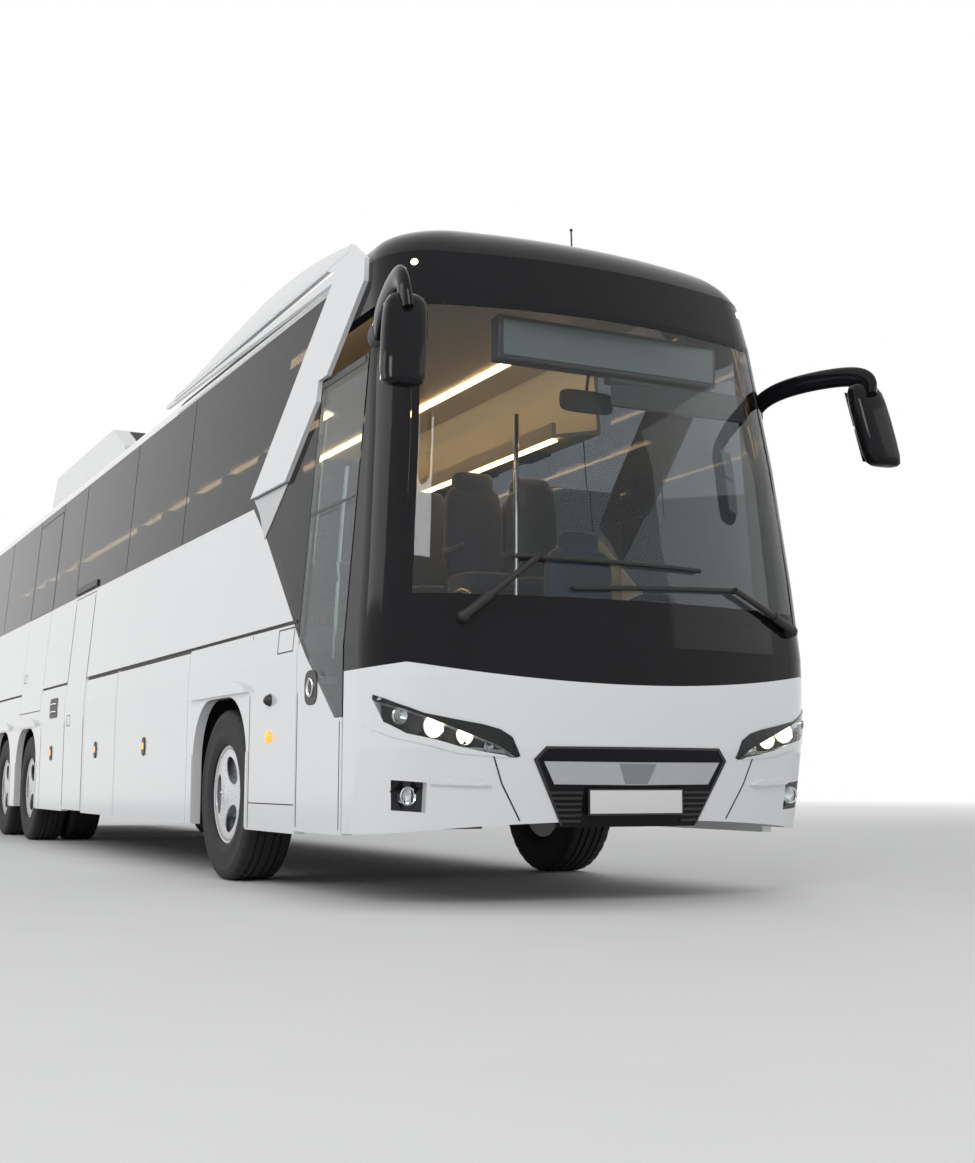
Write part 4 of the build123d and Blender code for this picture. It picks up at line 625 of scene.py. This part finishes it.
def pad(low, high, cuts=5, lean=0.0):
    """Stuffed block with swollen faces and soft edges; lean moves it rearward as it rises."""
    grown = bmesh.new()
    bmesh.ops.create_cube(grown, size=2.0)
    bmesh.ops.subdivide_edges(grown, edges=grown.edges[:], cuts=cuts, use_grid_fill=True)
    middle = [(a + b) / 2 for a, b in zip(low, high)]
    half = [(b - a) / 2 for a, b in zip(low, high)]
    for vert in grown.verts:
        x, y, z = (abs(reach) ** PAD_POWER for reach in vert.co)
        point = vert.co / (x + y + z) ** (1 / PAD_POWER)
        swell = 1 - 0.1 * max(abs(point.x), abs(point.z)) ** 2 if half[1] < half[2] else 1.0
        rise = point.z * half[2]
        vert.co = Vector((middle[0] + point.x * half[0], middle[1] + point.y * half[1] * swell + rise * lean,
                          middle[2] + rise))
    return listed(grown)


def curve(controls, count):
    """Points along a smooth bend drawn by its control points."""
    places = []
    for step in range(count + 1):
        share = step / count
        row = [Vector(point) for point in controls]
        while len(row) > 1:
            row = [a.lerp(b, share) for a, b in zip(row, row[1:])]
        places.append(row[0])
    return places


# Mirrors: soft-edged heads on curved arms, with two glasses in each
# Rows of a head: height, half width and half depth
HEAD_ROWS = (
    (2.232, 0.052, 0.022), (2.238, 0.082, 0.04), (2.255, 0.102, 0.053), (2.3, 0.111, 0.06), (2.4, 0.114, 0.063),
    (2.52, 0.115, 0.064), (2.62, 0.112, 0.062), (2.68, 0.106, 0.057), (2.715, 0.09, 0.046), (2.732, 0.066, 0.032),
    (2.738, 0.036, 0.016),
)
HEAD_MIDDLE = (1.4, -7.015, 2.485)
HEAD_NARROWING, HEAD_LOWERING = 0.92, 0.9
LEAN_INWARD, LEAN_REARWARD = 0.12, 0.2
MIRROR_ROWS = (
    # side, where the head hangs, point of the root on the side, middle of the arm
    (-1, (-1.345, -7.015, 2.56), (-6.205, 2.83),
     ((-1.24, -6.4, 2.85), (-1.3, -6.7, 2.87), (-1.34, -6.95, 2.93), (-1.35, -7.01, 2.92),
      (-1.345, -7.03, 2.7))),
    (1, (1.34, -7.015, 2.455), (-6.24, 2.65),
     ((1.15, -6.3, 2.79), (1.22, -6.55, 2.79), (1.3, -6.85, 2.74), (1.34, -7.01, 2.79),
      (1.32, -7.03, 2.61))),
)


def hung(shape, side, place):
    """A head or glass moved to its place, a little smaller, leaning inward and rearward at the top."""
    verts = []
    for x, y, z in shape[0]:
        rise = (z - HEAD_MIDDLE[2]) * HEAD_LOWERING
        verts.append((place[0] + (x - side * HEAD_MIDDLE[0]) * HEAD_NARROWING - side * LEAN_INWARD * rise,
                      place[1] + y - HEAD_MIDDLE[1] + LEAN_REARWARD * rise, place[2] + rise))
    return verts, shape[1]


heads, glasses, feet = [], [], []
for side, place, root, middle in MIRROR_ROWS:
    hit = right_hit if side < 0 else left_hit
    start, normal = hit(*root)
    rows = [rounded_ring((side * HEAD_MIDDLE[0], HEAD_MIDDLE[1], z), x, y, 3.0, 40) for z, x, y in HEAD_ROWS]
    heads.append(hung(stacked(rows), side, place))
    heads.append(tube(curve([start - normal * 0.01, *middle], 32), 0.028, 24, 1.9))
    profile = ((-0.03, 0.075), (0.004, 0.073), (0.018, 0.064), (0.03, 0.045), (0.034, 0.0))
    feet.append(turned(profile, start, normal, 32))
    for low, high in ((2.268, 2.47), (2.484, 2.694)):
        glass_x = side * HEAD_MIDDLE[0]
        glass = block((glass_x - 0.088, -6.953, low), (glass_x + 0.088, -6.9495, high), 0.0012)
        glasses.append(hung(glass, side, place))
piece("mirror_heads", BLACK, *heads, replaces=["mirrors"])
piece("mirror_feet", PLASTIC, *feet)
piece("mirror_glasses", MIRROR, *glasses)

# Wipers: arms from their pivots, and blades that lie across the screen
WIPER_ROWS = (
    # foot of the arm, tip of the arm, ends of the blade
    ((-0.89, 1.363), (-0.523, 1.666), (-0.632, 1.661), (0.384, 1.648)),
    ((1.043, 1.382), (0.603, 1.561), (-0.357, 1.516), (0.64, 1.564)),
)


def on_screen(start, end, out_start, out_end, count=14):
    """Points between two places drawn from the front, held off the screen."""
    places = []
    for step in range(count + 1):
        share = step / count
        place, normal = screen_hit(start[0] + (end[0] - start[0]) * share, start[1] + (end[1] - start[1]) * share)
        places.append(place + normal * (out_start + (out_end - out_start) * share))
    return places


PIVOT = ((-0.012, 0.034), (0.02, 0.032), (0.044, 0.026), (0.052, 0.016), (0.054, 0.0))
sweep = []
for foot, tip, blade_start, blade_end in WIPER_ROWS:
    arm_points = on_screen(foot, tip, 0.034, 0.038)
    share = len(arm_points) // 3
    sweep.append(tube(arm_points[:share + 1], 0.022, 14, 1.1))
    sweep.append(tube(arm_points[share:], 0.015, 14, 1.1))
    place, normal = screen_hit(*foot)
    sweep.append(turned(PIVOT, place, normal, 30))
    sweep.append(tube(on_screen(blade_start, blade_end, 0.008, 0.008, 26), 0.006, 10, 1.3))
    sweep.append(tube(on_screen(blade_start, blade_end, 0.022, 0.022, 26), 0.012, 12, 1.0))
    place, normal = screen_hit(*tip)
    sweep.append(tube([place + normal * 0.012, place + normal * 0.04], 0.016, 14))
piece("wiper_sweep", SEAL, *sweep, replaces=["wipers"])

# Front: seams and ledges in the bumper, and the cap's corner lamps
seams = []
for side in (-1, 1):
    seams += [[(side * 0.745, 0.727), (side * 0.69, 0.585)], [(side * 0.69, 0.585), (side * 0.588, 0.412)]]
piece("bumper_seams", SEAL, lines(seams, front_hit, 0.007, 0.0015, 0.004, 0.03))
ledge = [(1.02, 0.621), (0.8, 0.606), (0.742, 0.582), (0.8, 0.58), (1.02, 0.588)]
ledges = mirrored(ledge, front_hit, 0.02, 0.022, 0.03)
piece("bumper_ledges", WHITE, *ledges)
corner_lamps = []
for side in (-1, 1):
    place, normal = front_hit(side * 0.991, 3.194)
    profile = ((-0.004, 0.02), (0.004, 0.019), (0.009, 0.012), (0.01, 0.0))
    corner_lamps.append(turned(profile, place, normal, 28))
piece("corner_lamps", STRIP_GLOW, *corner_lamps)

# Sides: window seams, rail strip, brows, lamps, door furniture and blade details
window_seams = {
    "right": (-2.81, -1.16, 0.74, 1.815, 3.015, 4.7),
    "left": (-5.25, -4.35, -2.81, -1.16, 0.49, 2.14, 3.79, 5.3),
}
rail_runs = {"right": ((-5.42, -3.4), (-3.38, -0.17), (0.7, 1.83), (3.01, 6.34)), "left": ((-6.12, 6.34),)}
MARKER_Y = (-2.229, -0.644, 1.224, 5.25)
marker_bodies = {
    "right": ("right_flap_1", "right_flap_2", "coach_body", "coach_body"),
    "left": ("left_flap_1", "left_flap_2", "left_flap_3", "coach_body"),
}
# Crest that the scene adds to the fin on the roof's edge: distance along the coach, and height
BLADE_CREST = (
    (-5.775, 3.437), (-5.7, 3.451), (-5.6, 3.467), (-5.45, 3.488), (-5.24, 3.512), (-5.03, 3.53),
    (-4.8, 3.54), (-4.58, 3.544), (-4.3, 3.54), (-4.04, 3.527), (-3.67, 3.505), (-3.3, 3.477), (-3.05, 3.456),
    (-2.8, 3.436), (-2.5, 3.42), (-2.26, 3.412),
)
for side, hand, hit in ((-1, "right", right_hit), (1, "left", left_hit)):
    pillars = [[(y, 2.226), (y, 3.246)] for y in window_seams[hand]]
    piece(f"window_seams_{hand}", SEAL, lines(pillars, hit, 0.012))
    runs = [[(a, 1.44), (b, 1.44)] for a, b in rail_runs[hand]]
    piece(f"rail_strip_{hand}", SEAL, lines(runs, hit, 0.018, 0.004, 0.006))
    brows = []
    for axle_y in (FRONT_AXLE_Y, DRIVE_AXLE_Y, TAG_AXLE_Y):
        bends = [pi * turn / 12 for turn in range(13)]
        top = [(axle_y + 0.6 * cos(bend), 1.1 + 0.088 * sin(bend)) for bend in bends]
        brows.append(patch(top, hit, 0.03, 0.032, 0.09))
        for edge in (-1, 1):
            y = axle_y + edge * 0.575
            brows.append(patch(line_outline((y, 0.33), (y, 0.76), 0.026), hit, 0.006, 0.01, 0.2))
    piece(f"arch_brows_{hand}", WHITE, *brows)
    for number, (y, body) in enumerate(zip(MARKER_Y, marker_bodies[hand])):
        piece(f"side_marker_frame_{hand}_{number}", PLASTIC,
              patch(oval_outline(y, 0.832, 0.04, 0.066), hit, 0.008, 0.01, 0.05), body=body)
        piece(f"side_marker_{hand}_{number}", MARKER_GLOW,
              patch(oval_outline(y, 0.836, 0.02, 0.026), hit, 0.012, 0.012, 0.05), body=body)
    signal = turned(((-0.004, 0.034), (0.01, 0.034), (0.018, 0.028), (0.023, 0.014), (0.024, 0.0)),
                    (side * HALF_WIDTH, -5.033, 0.835), (side, 0, 0), 32)
    piece(f"side_signal_{hand}", MARKER_GLOW, signal)
    dome = turned(((-0.004, 0.036), (0.006, 0.034), (0.024, 0.026), (0.036, 0.014), (0.039, 0.0)),
                  (side * HALF_WIDTH, -5.032, 1.036), (side, 0, -0.1), 28)
    piece(f"side_camera_{hand}", PLASTIC, dome)
    piece(f"side_seams_{hand}", SEAL, loop_lines(oblong(-5.385, 1.285, -5.135, 1.412), hit),
          lines([[(-4.672, 1.42), (-4.672, 0.33)]], hit, 0.007),
          lines([[(1.76, 1.42), (1.76, 0.33)], [(5.15, 1.42), (5.15, 0.33)], [(-5.44, 0.47), (-4.672, 0.47)]], hit,
                0.006))
    foot = [(-5.036, 2.262), (-4.43, 2.262), (-4.56, 2.16), (-4.7, 1.985), (-4.82, 2.08)]
    piece(f"blade_foot_{hand}", SILVER, patch(foot, hit, 0.004, 0.006, 0.15))
    slot_shape = [(-5.6, 3.322), (-2.2, 3.352), (-2.2, 3.398), (-5.42, 3.404)]
    piece(f"blade_slot_{hand}", SEAL, patch(slot_shape, hit, 0.003, 0.005, 0.3))
    blade_hit = hunter(("roof_fins",), *from_side(side))
    low_x = abs(blade_hit(-4.0, 3.4)[0].x)
    lean = (abs(blade_hit(-4.0, 3.425)[0].x) - low_x) / 0.025
    rings = []
    for y, top in BLADE_CREST:
        ring = []
        for inset, height in ((-0.0015, 3.398), (-0.0015, top - 0.012), (0.004, top - 0.003), (0.012, top),
                              (0.02, top - 0.003), (0.0255, top - 0.012), (0.0255, 3.398)):
            ring.append((side * (low_x - inset + lean * (height - 3.4)), y, height))
        rings.append(ring)
    piece(f"blade_crest_{hand}", WHITE, stacked(rings))
handle = [(1.03, 1.15), (1.33, 1.15), (1.35, 1.17), (1.35, 1.31), (1.33, 1.33), (1.03, 1.33),
          (1.01, 1.31), (1.01, 1.17)]
piece("handle_plate", PLASTIC, patch(handle, right_hit, 0.004, 0.006, 0.08))
grips = []
for foot_x, bar_x, height in ((-1.272, -1.292, 1.205), (-1.27, -1.29, 1.275)):
    grips.append(tube([(foot_x, 1.08, height), (bar_x, 1.1, height), (bar_x, 1.26, height), (foot_x, 1.28, height)],
                      0.008))
piece("handle_grips", CHROME, *grips)
bar_shape = [(-0.165, 2.232), (0.705, 2.232), (0.705, 2.276), (0.69, 2.286), (-0.15, 2.286), (-0.165, 2.276)]
piece("door_rain_bar", PLASTIC, patch(bar_shape, right_hit, 0.014, 0.016, 0.2))
button = oval_outline(-5.69, 1.072, 0.09, 0.09, 3.0, 28)
piece("front_door_furniture", PLASTIC, patch(button, right_hit, 0.005, 0.007, 0.06),
      lines([[(-6.105, 2.01), (-5.478, 2.01)]], right_hit, 0.014, 0.003, 0.005),
      lines([[(-6.105, 2.722), (-5.478, 2.722)]], right_hit, 0.03, 0.004, 0.006),
      lines([[(-5.482, 0.36), (-5.482, 1.33)], [(-6.1, 0.36), (-6.1, 0.89)]], right_hit, 0.008),
      body="front_door_leaf")
BUTTON = ((-0.002, 0.05), (0.006, 0.05), (0.009, 0.044), (0.006, 0.038), (0.0, 0.036))
piece("front_door_button", CHROME, turned(BUTTON, (-1.28, -5.69, 1.072), (-1, 0, 0), 36), body="front_door_leaf")
piece("mid_door_furniture", PLASTIC, loop_lines(oblong(0.43, 1.06, 0.56, 1.15), right_hit),
      lines([[(-0.116, 0.36), (-0.116, 2.15)], [(0.66, 0.36), (0.66, 2.15)]], right_hit, 0.008), body="mid_door_leaf")
piece("lift_door_furniture", PLASTIC, lines([[(1.87, 2.216), (2.972, 2.216)]], right_hit, 0.012),
      loop_lines(oblong(2.8, 1.56, 2.92, 1.64), right_hit), body="lift_door_leaf")

# Seats: each place has a stuffed cushion, a leaning back, a headrest and armrests on a steel leg
soft, legs = [], []
for row in range(SEAT_ROWS):
    front = FRONT_AXLE_Y - 0.35 + row * SEAT_PITCH
    for side in (-1, 1):
        if side < 0 and front + SEAT_WIDTH > -0.14 and front < 0.68:
            continue
        for inner in (0.235, 0.672):
            low_x, high_x = sorted((side * inner, side * (inner + SEAT_WIDTH)))
            soft.append(pad((low_x, front, 1.8), (high_x, front + 0.38, 1.945)))
            soft.append(pad((low_x + 0.008, front + 0.31, 1.9), (high_x - 0.008, front + 0.425, 2.56), lean=0.02))
            soft.append(pad((low_x + 0.07, front + 0.325, 2.47), (high_x - 0.07, front + 0.43, 2.655)))
        for arm in (0.222, 0.66):
            arm_x = side * (arm + 0.008)
            soft.append(pad((arm_x - 0.02, front + 0.06, 2.08), (arm_x + 0.02, front + 0.36, 2.12), 3))
        x, y = side * 0.38, front + 0.215
        legs.append(tube([(x, y, DECK_TOP), (x, y, 1.815)], 0.028, 16))
        x, y = side * 0.24, front + 0.2
        legs.append(tube([(x, y, SEAT_RAIL_Z), (side * 1.1, y, SEAT_RAIL_Z)], 0.016, 12))
        post = [(x, front + 0.33, SEAT_RAIL_Z), (x, front + 0.335, 2.1)]
        legs.append(tube(post, 0.012, 12))
seat_pads = piece("seat_pads", FABRIC, *soft, replaces=["seats"])
piece("seat_legs", STEEL, *legs)
driver = [
    # cushion, back, headrest and two armrests
    pad((0.385, -5.575, 1.32), (0.855, -5.11, 1.445), 7), pad((0.395, -5.215, 1.4), (0.845, -5.1, 2.0), 7),
    pad((0.49, -5.205, 1.96), (0.75, -5.105, 2.105), 6), pad((0.372, -5.48, 1.56), (0.412, -5.2, 1.605), 4),
    pad((0.828, -5.48, 1.56), (0.868, -5.2, 1.605), 4),
]
driver_pads = piece("driver_seat_pads", FABRIC, *driver, replaces=["driver_seat"])
bellows = [(0.0, 0.15), (0.03, 0.15)]
for fold in range(6):
    bellows += [(0.04 + fold * 0.048, 0.098), (0.064 + fold * 0.048, 0.124)]
bellows += [(0.335, 0.11), (0.345, 0.15), (0.378, 0.15), (0.38, 0.0)]
piece("driver_seat_post", PLASTIC, turned(bellows, (0.62, -5.34, 0.942), (0, 0, 1), 40))

# Cabin: ceiling, warm light strips, destination display, blind, rails and dashboard details
sheet_verts, sheet_faces = [], []
for drop in (0.0, 0.008):
    for step in range(25):
        x = -0.93 + 1.86 * step / 24
        height = 3.445 - 0.06 * (x / 0.93) ** 2 - drop
        sheet_verts += [(x, -5.48, height), (x, 6.3, height)]
for step in range(24):
    a = 2 * step
    sheet_faces += [(a, a + 1, a + 3, a + 2), (a + 50, a + 52, a + 53, a + 51), (a, a + 2, a + 52, a + 50),
                    (a + 1, a + 51, a + 53, a + 3)]
sheet_faces += [(0, 50, 51, 1), (48, 49, 99, 98)]
piece("ceiling_sheet", TRIM, (sheet_verts, sheet_faces))
strips = []
for side in (-1, 1):
    rack_x, ceiling_x = side * 0.76, side * 0.64
    strips.append(block((rack_x - 0.022, -4.62, 2.789), (rack_x + 0.022, 6.05, 2.7985), 0.002))
    strips.append(block((ceiling_x - 0.03, -5.0, 3.395), (ceiling_x + 0.03, 6.1, 3.408), 0.003))
piece("cabin_lights", CABIN_GLOW, *strips)
service = []
for row in range(SEAT_ROWS - 1):
    y = FRONT_AXLE_Y + 0.05 + row * SEAT_PITCH
    for side in (-1, 1):
        x = side * 0.88
        service.append(block((x - 0.11, y - 0.15, 2.8), (x + 0.11, y + 0.15, 2.822), 0.006))
piece("service_units", PLASTIC, *service)
piece("display_box", PLASTIC, block((-0.57, -6.425, 2.72), (0.76, -6.33, 2.955), 0.012))
display_glass = surface("display_glass", (0.13, 0.15, 0.15), 0.25, 700.0, 0.25)
piece("display_face", display_glass, block((-0.545, -6.432, 2.745), (0.735, -6.424, 2.93), 0.002),
      slot="black_plastic")
piece("roller_blind", DASH, tube([(0.08, -6.4, 2.69), (0.98, -6.36, 2.69)], 0.024, 20),
      block((0.1, -6.412, 2.56), (0.96, -6.408, 2.69), 0.001),
      tube([(0.1, -6.41, 2.558), (0.96, -6.41, 2.558)], 0.009, 12))
STAIR_RAIL = ((-0.49, -6.05, 1.42), (-0.5, -5.95, 1.7), (-0.5, -5.6, 1.72), (-0.5, -5.42, 1.0))
DOOR_RAIL = ((-1.02, -5.43, 1.25), (-1.0, -5.44, 1.9), (-0.98, -5.44, 2.1), (-0.96, -5.44, 2.3))
rails = [tube(curve(STAIR_RAIL, 20), 0.016, 14)]
for x, y in ((-0.52, -4.83), (0.33, -4.9)):
    rails.append(tube([(x, y, DECK_TOP), (x, y, 2.86)], 0.016, 14))
rails.append(tube(curve(DOOR_RAIL, 12), 0.014, 14))
piece("hand_rails", CHROME, *rails)
piece("driver_partition", CLEAR, block((0.34, -4.908, 1.52), (1.08, -4.902, 2.42), 0.001), slot="windscreen_glass")
DIAL = ((0, 0.05), (0.012, 0.048), (0.015, 0.04), (0.006, 0.036), (0.004, 0.0))
dash = [
    block((0.33, -6.33, 1.421), (0.91, -6.06, 1.505), 0.022), block((-0.38, -6.38, 1.39), (0.2, -6.12, 1.432), 0.014),
    block((-0.1, -6.075, 1.3), (0.25, -6.035, 1.43), 0.012),
]
for x in (-0.33, -0.12, 0.06):
    dash.append(turned(DIAL, (x, -6.25, 1.428), (0, 0.3, 1), 28))
piece("dash_details", DASH, *dash)
dash_glow = glow("dash_glow", (0.35, 0.55, 0.9), 0.8)
piece("dash_screen", dash_glow, block((0.42, -6.063, 1.44), (0.82, -6.0575, 1.492), 0.002), slot="lamp_lens")
piece("cabin_mirror", BLACK, pad((-0.16, -6.345, 2.52), (0.16, -6.31, 2.64), 6),
      tube([(0.0, -6.325, 2.63), (0.0, -6.35, 2.73)], 0.009, 12))

# Rear: lamp rings, plate, louvres, seams and the window's edge
LAMP_RING = ((-0.002, 0.064), (0.005, 0.064), (0.008, 0.058), (0.005, 0.052), (0.002, 0.048))
LAMP_CENTRE = ((0.0, 0.046), (0.006, 0.04), (0.009, 0.02), (0.01, 0.0))
ring_parts, centres, louvres = [], [], []
for side in (-1, 1):
    for height in (1.06, 1.23, 1.4, 1.57, 1.74):
        place, normal = rear_hit(side * REAR_LAMP_X, height)
        ring_parts.append(turned(LAMP_RING, place, normal, 40))
        if height in (1.06, 1.57):
            centres.append(turned(LAMP_CENTRE, place, normal, 32))
piece("rear_lamp_rings", CHROME, *ring_parts)
piece("rear_lamp_centres", AMBER, *centres)
for step in range(11):
    height = 0.9 + step * 0.032
    louvres.append(patch(oblong(-0.56, height, 0.56, height + 0.017), rear_hit, 0.008, 0.01, 0.15))
piece("lid_louvres", PLASTIC, *louvres, body="rear_lid")
lid_handle = [(-0.11, 1.33), (0.11, 1.33), (0.1, 1.372), (-0.1, 1.372)]
piece("lid_handle", BLACK, patch(lid_handle, rear_hit, 0.012, 0.014, 0.05), body="rear_lid")
piece("rear_seams", SEAL, loop_lines(oblong(-0.905, 2.325, 0.905, 3.085), rear_hit, 0.016),
      lines([[(-1.18, 2.205), (1.18, 2.205)]], rear_hit, 0.007))
piece("rear_plate_holder", PLASTIC, block((-0.268, 7.0625, 0.456), (0.268, 7.0675, 0.584), 0.002))
piece("rear_number_plate", PLATE, block((-0.26, 7.0665, 0.465), (0.26, 7.07, 0.575), 0.0012))
plate_lamps = [pad((x - 0.035, 7.06, 0.59), (x + 0.035, 7.078, 0.612), 4) for x in (-0.15, 0.15)]
piece("plate_lamps", STRIP_GLOW, *plate_lamps)

# Roof: hatches, the unit's fans and slats, and the aerial's whip
hatches = []
for y in (-2.6, 5.2):
    hatches.append(patch(oblong(-0.42, y - 0.38, 0.42, y + 0.38), roof_hit, 0.035, 0.037, 0.12))
    hatches.append(patch(oblong(-0.34, y - 0.3, 0.34, y + 0.3), roof_hit, 0.05, 0.018, 0.12))
piece("roof_hatches", PLASTIC, *hatches)
FAN_RING = ((-0.002, 0.235), (0.01, 0.235), (0.016, 0.222), (0.01, 0.21), (0.002, 0.205))
fans, grid = [], []
for y in (1.5, 2.5, 3.3):
    for side in (-1, 1):
        place = Vector((side * 0.4, y, ROOF_UNIT_TOP))
        fans.append(turned(FAN_RING, place, (0, 0, 1), 56))
        for ring in range(9):
            near = 0.025 + ring * 0.024
            far = near + 0.004
            fans.append(turned(((0.002, near), (0.008, near), (0.008, far), (0.002, far)), place, (0, 0, 1), 40))
piece("unit_fans", PLASTIC, *fans)
for step in range(9):
    y = 0.64 + step * 0.042
    grid.append(patch(oblong(-0.7, y, 0.7, y + 0.02), roof_hit, 0.008, 0.01, 0.35))
piece("aerial_whip", SEAL, tube([(0.48, -5.352, 3.735), (0.48, -5.346, 3.8), (0.48, -5.338, 3.93)], 0.005, 12),
      turned(((0.0, 0.005), (0.003, 0.009), (0.009, 0.01), (0.015, 0.007), (0.018, 0.0)), (0.48, -5.338, 3.925),
             (0, 0, 1), 16))
piece("unit_slats", PLASTIC, *grid)

# Camera
yaw, pitch, roll = radians(CAMERA_YAW), radians(CAMERA_PITCH), radians(CAMERA_ROLL)
forward = Vector((sin(yaw) * cos(pitch), cos(yaw) * cos(pitch), sin(pitch)))
right = Vector((cos(yaw), -sin(yaw), 0))
up = right.cross(forward)
tilted_right = right * cos(roll) + up * sin(roll)
tilted_up = up * cos(roll) - right * sin(roll)
lens = bpy.data.cameras.new("camera")
lens.lens = CAMERA_LENS
lens.sensor_width = SENSOR_WIDTH
lens.clip_end = 200
camera = add_object("camera", lens)
turning = Matrix((tilted_right, tilted_up, -forward)).transposed().to_4x4()
camera.matrix_world = Matrix.Translation(CAMERA_PLACE) @ turning
bpy.context.scene.camera = camera

# Floor, world and studio lamps
floor_mesh = bpy.data.meshes.new("floor")
floor_corners = oblong(-FLOOR_HALF, -FLOOR_HALF, FLOOR_HALF, FLOOR_HALF)
floor_mesh.from_pydata([(x, y, 0) for x, y in floor_corners], [], [(0, 1, 2, 3)])
floor = add_object("floor", floor_mesh)
pale = surface("studio_floor", (0.86, 0.86, 0.855), 0.75, 2.0, 0.01)
floor_mesh.materials.append(pale)
world = bpy.data.worlds.new("studio")
bpy.context.scene.world = world
world.use_nodes = True


def white_for_seen_rays(tree, plain, output, white, end, share=None):
    """Mixes white into a plain shader for rays from the camera, reflections and glass, by a share or in full."""
    rays = tree.nodes.new("ShaderNodeLightPath")
    source, value = rays, "Is Camera Ray"
    for name in ("Is Glossy Ray", "Is Transmission Ray"):
        plus = tree.nodes.new("ShaderNodeMath")
        plus.operation = "MAXIMUM"
        link(source, value, plus, 0)
        link(rays, name, plus, 1)
        source, value = plus, "Value"
    if share is not None:
        link(source, value, share, 1)
        source = share
    blend = tree.nodes.new("ShaderNodeMixShader")
    link(source, value, blend, "Fac")
    link(plain, output, blend, 1)
    link(white, 0, blend, 2)
    link(blend, "Shader", end, "Surface")


sky_tree = world.node_tree
light_sky = sky_tree.nodes["Background"]
light_sky.inputs["Color"].default_value = (0.9, 0.91, 0.93, 1)
light_sky.inputs["Strength"].default_value = 0.5
white_sky = node(sky_tree, "ShaderNodeBackground", Color=(1, 1, 1, 1), Strength=1.0)
white_for_seen_rays(sky_tree, light_sky, "Background", white_sky, sky_tree.nodes["World Output"])

floor_tree = pale.node_tree
spot = floor_tree.nodes.new("ShaderNodeTexCoord")
reach = floor_tree.nodes.new("ShaderNodeVectorMath")
reach.operation = "LENGTH"
link(spot, "Object", reach, 0)
fade = node(floor_tree, "ShaderNodeMapRange", From_Min=FADE_START, From_Max=FADE_END)
link(reach, "Value", fade, "Value")
share = floor_tree.nodes.new("ShaderNodeMath")
share.operation = "MULTIPLY"
link(fade, "Result", share, 0)
white = node(floor_tree, "ShaderNodeEmission", Color=(1, 1, 1, 1), Strength=1.0)
white_for_seen_rays(floor_tree, floor_tree.nodes["Principled BSDF"], "BSDF", white,
                    floor_tree.nodes["Material Output"], share)
lamp_rows = (
    # name, place, point it faces, width, height, power
    ("key", (-9, -17, 9), (0, -4, 1.5), 6, 4, 700),
    ("side", (-15, 2, 8), (0, 1, 1.5), 12, 5, 420),
    ("fill", (12, -14, 7), (0, -3, 1.5), 8, 6, 130),
    ("back", (10, 14, 9), (0, 4, 1.5), 10, 6, 320),
)
for name, place, aim, width, height, power in lamp_rows:
    light = bpy.data.lights.new(name, "AREA")
    light.shape = "RECTANGLE"
    light.size = width
    light.size_y = height
    light.energy = power
    lamp = add_object(name, light)
    lamp.location = place
    lamp.rotation_euler = (Vector(aim) - Vector(place)).to_track_quat("-Z", "Y").to_euler()
bpy.context.scene.view_settings.view_transform = "Standard"
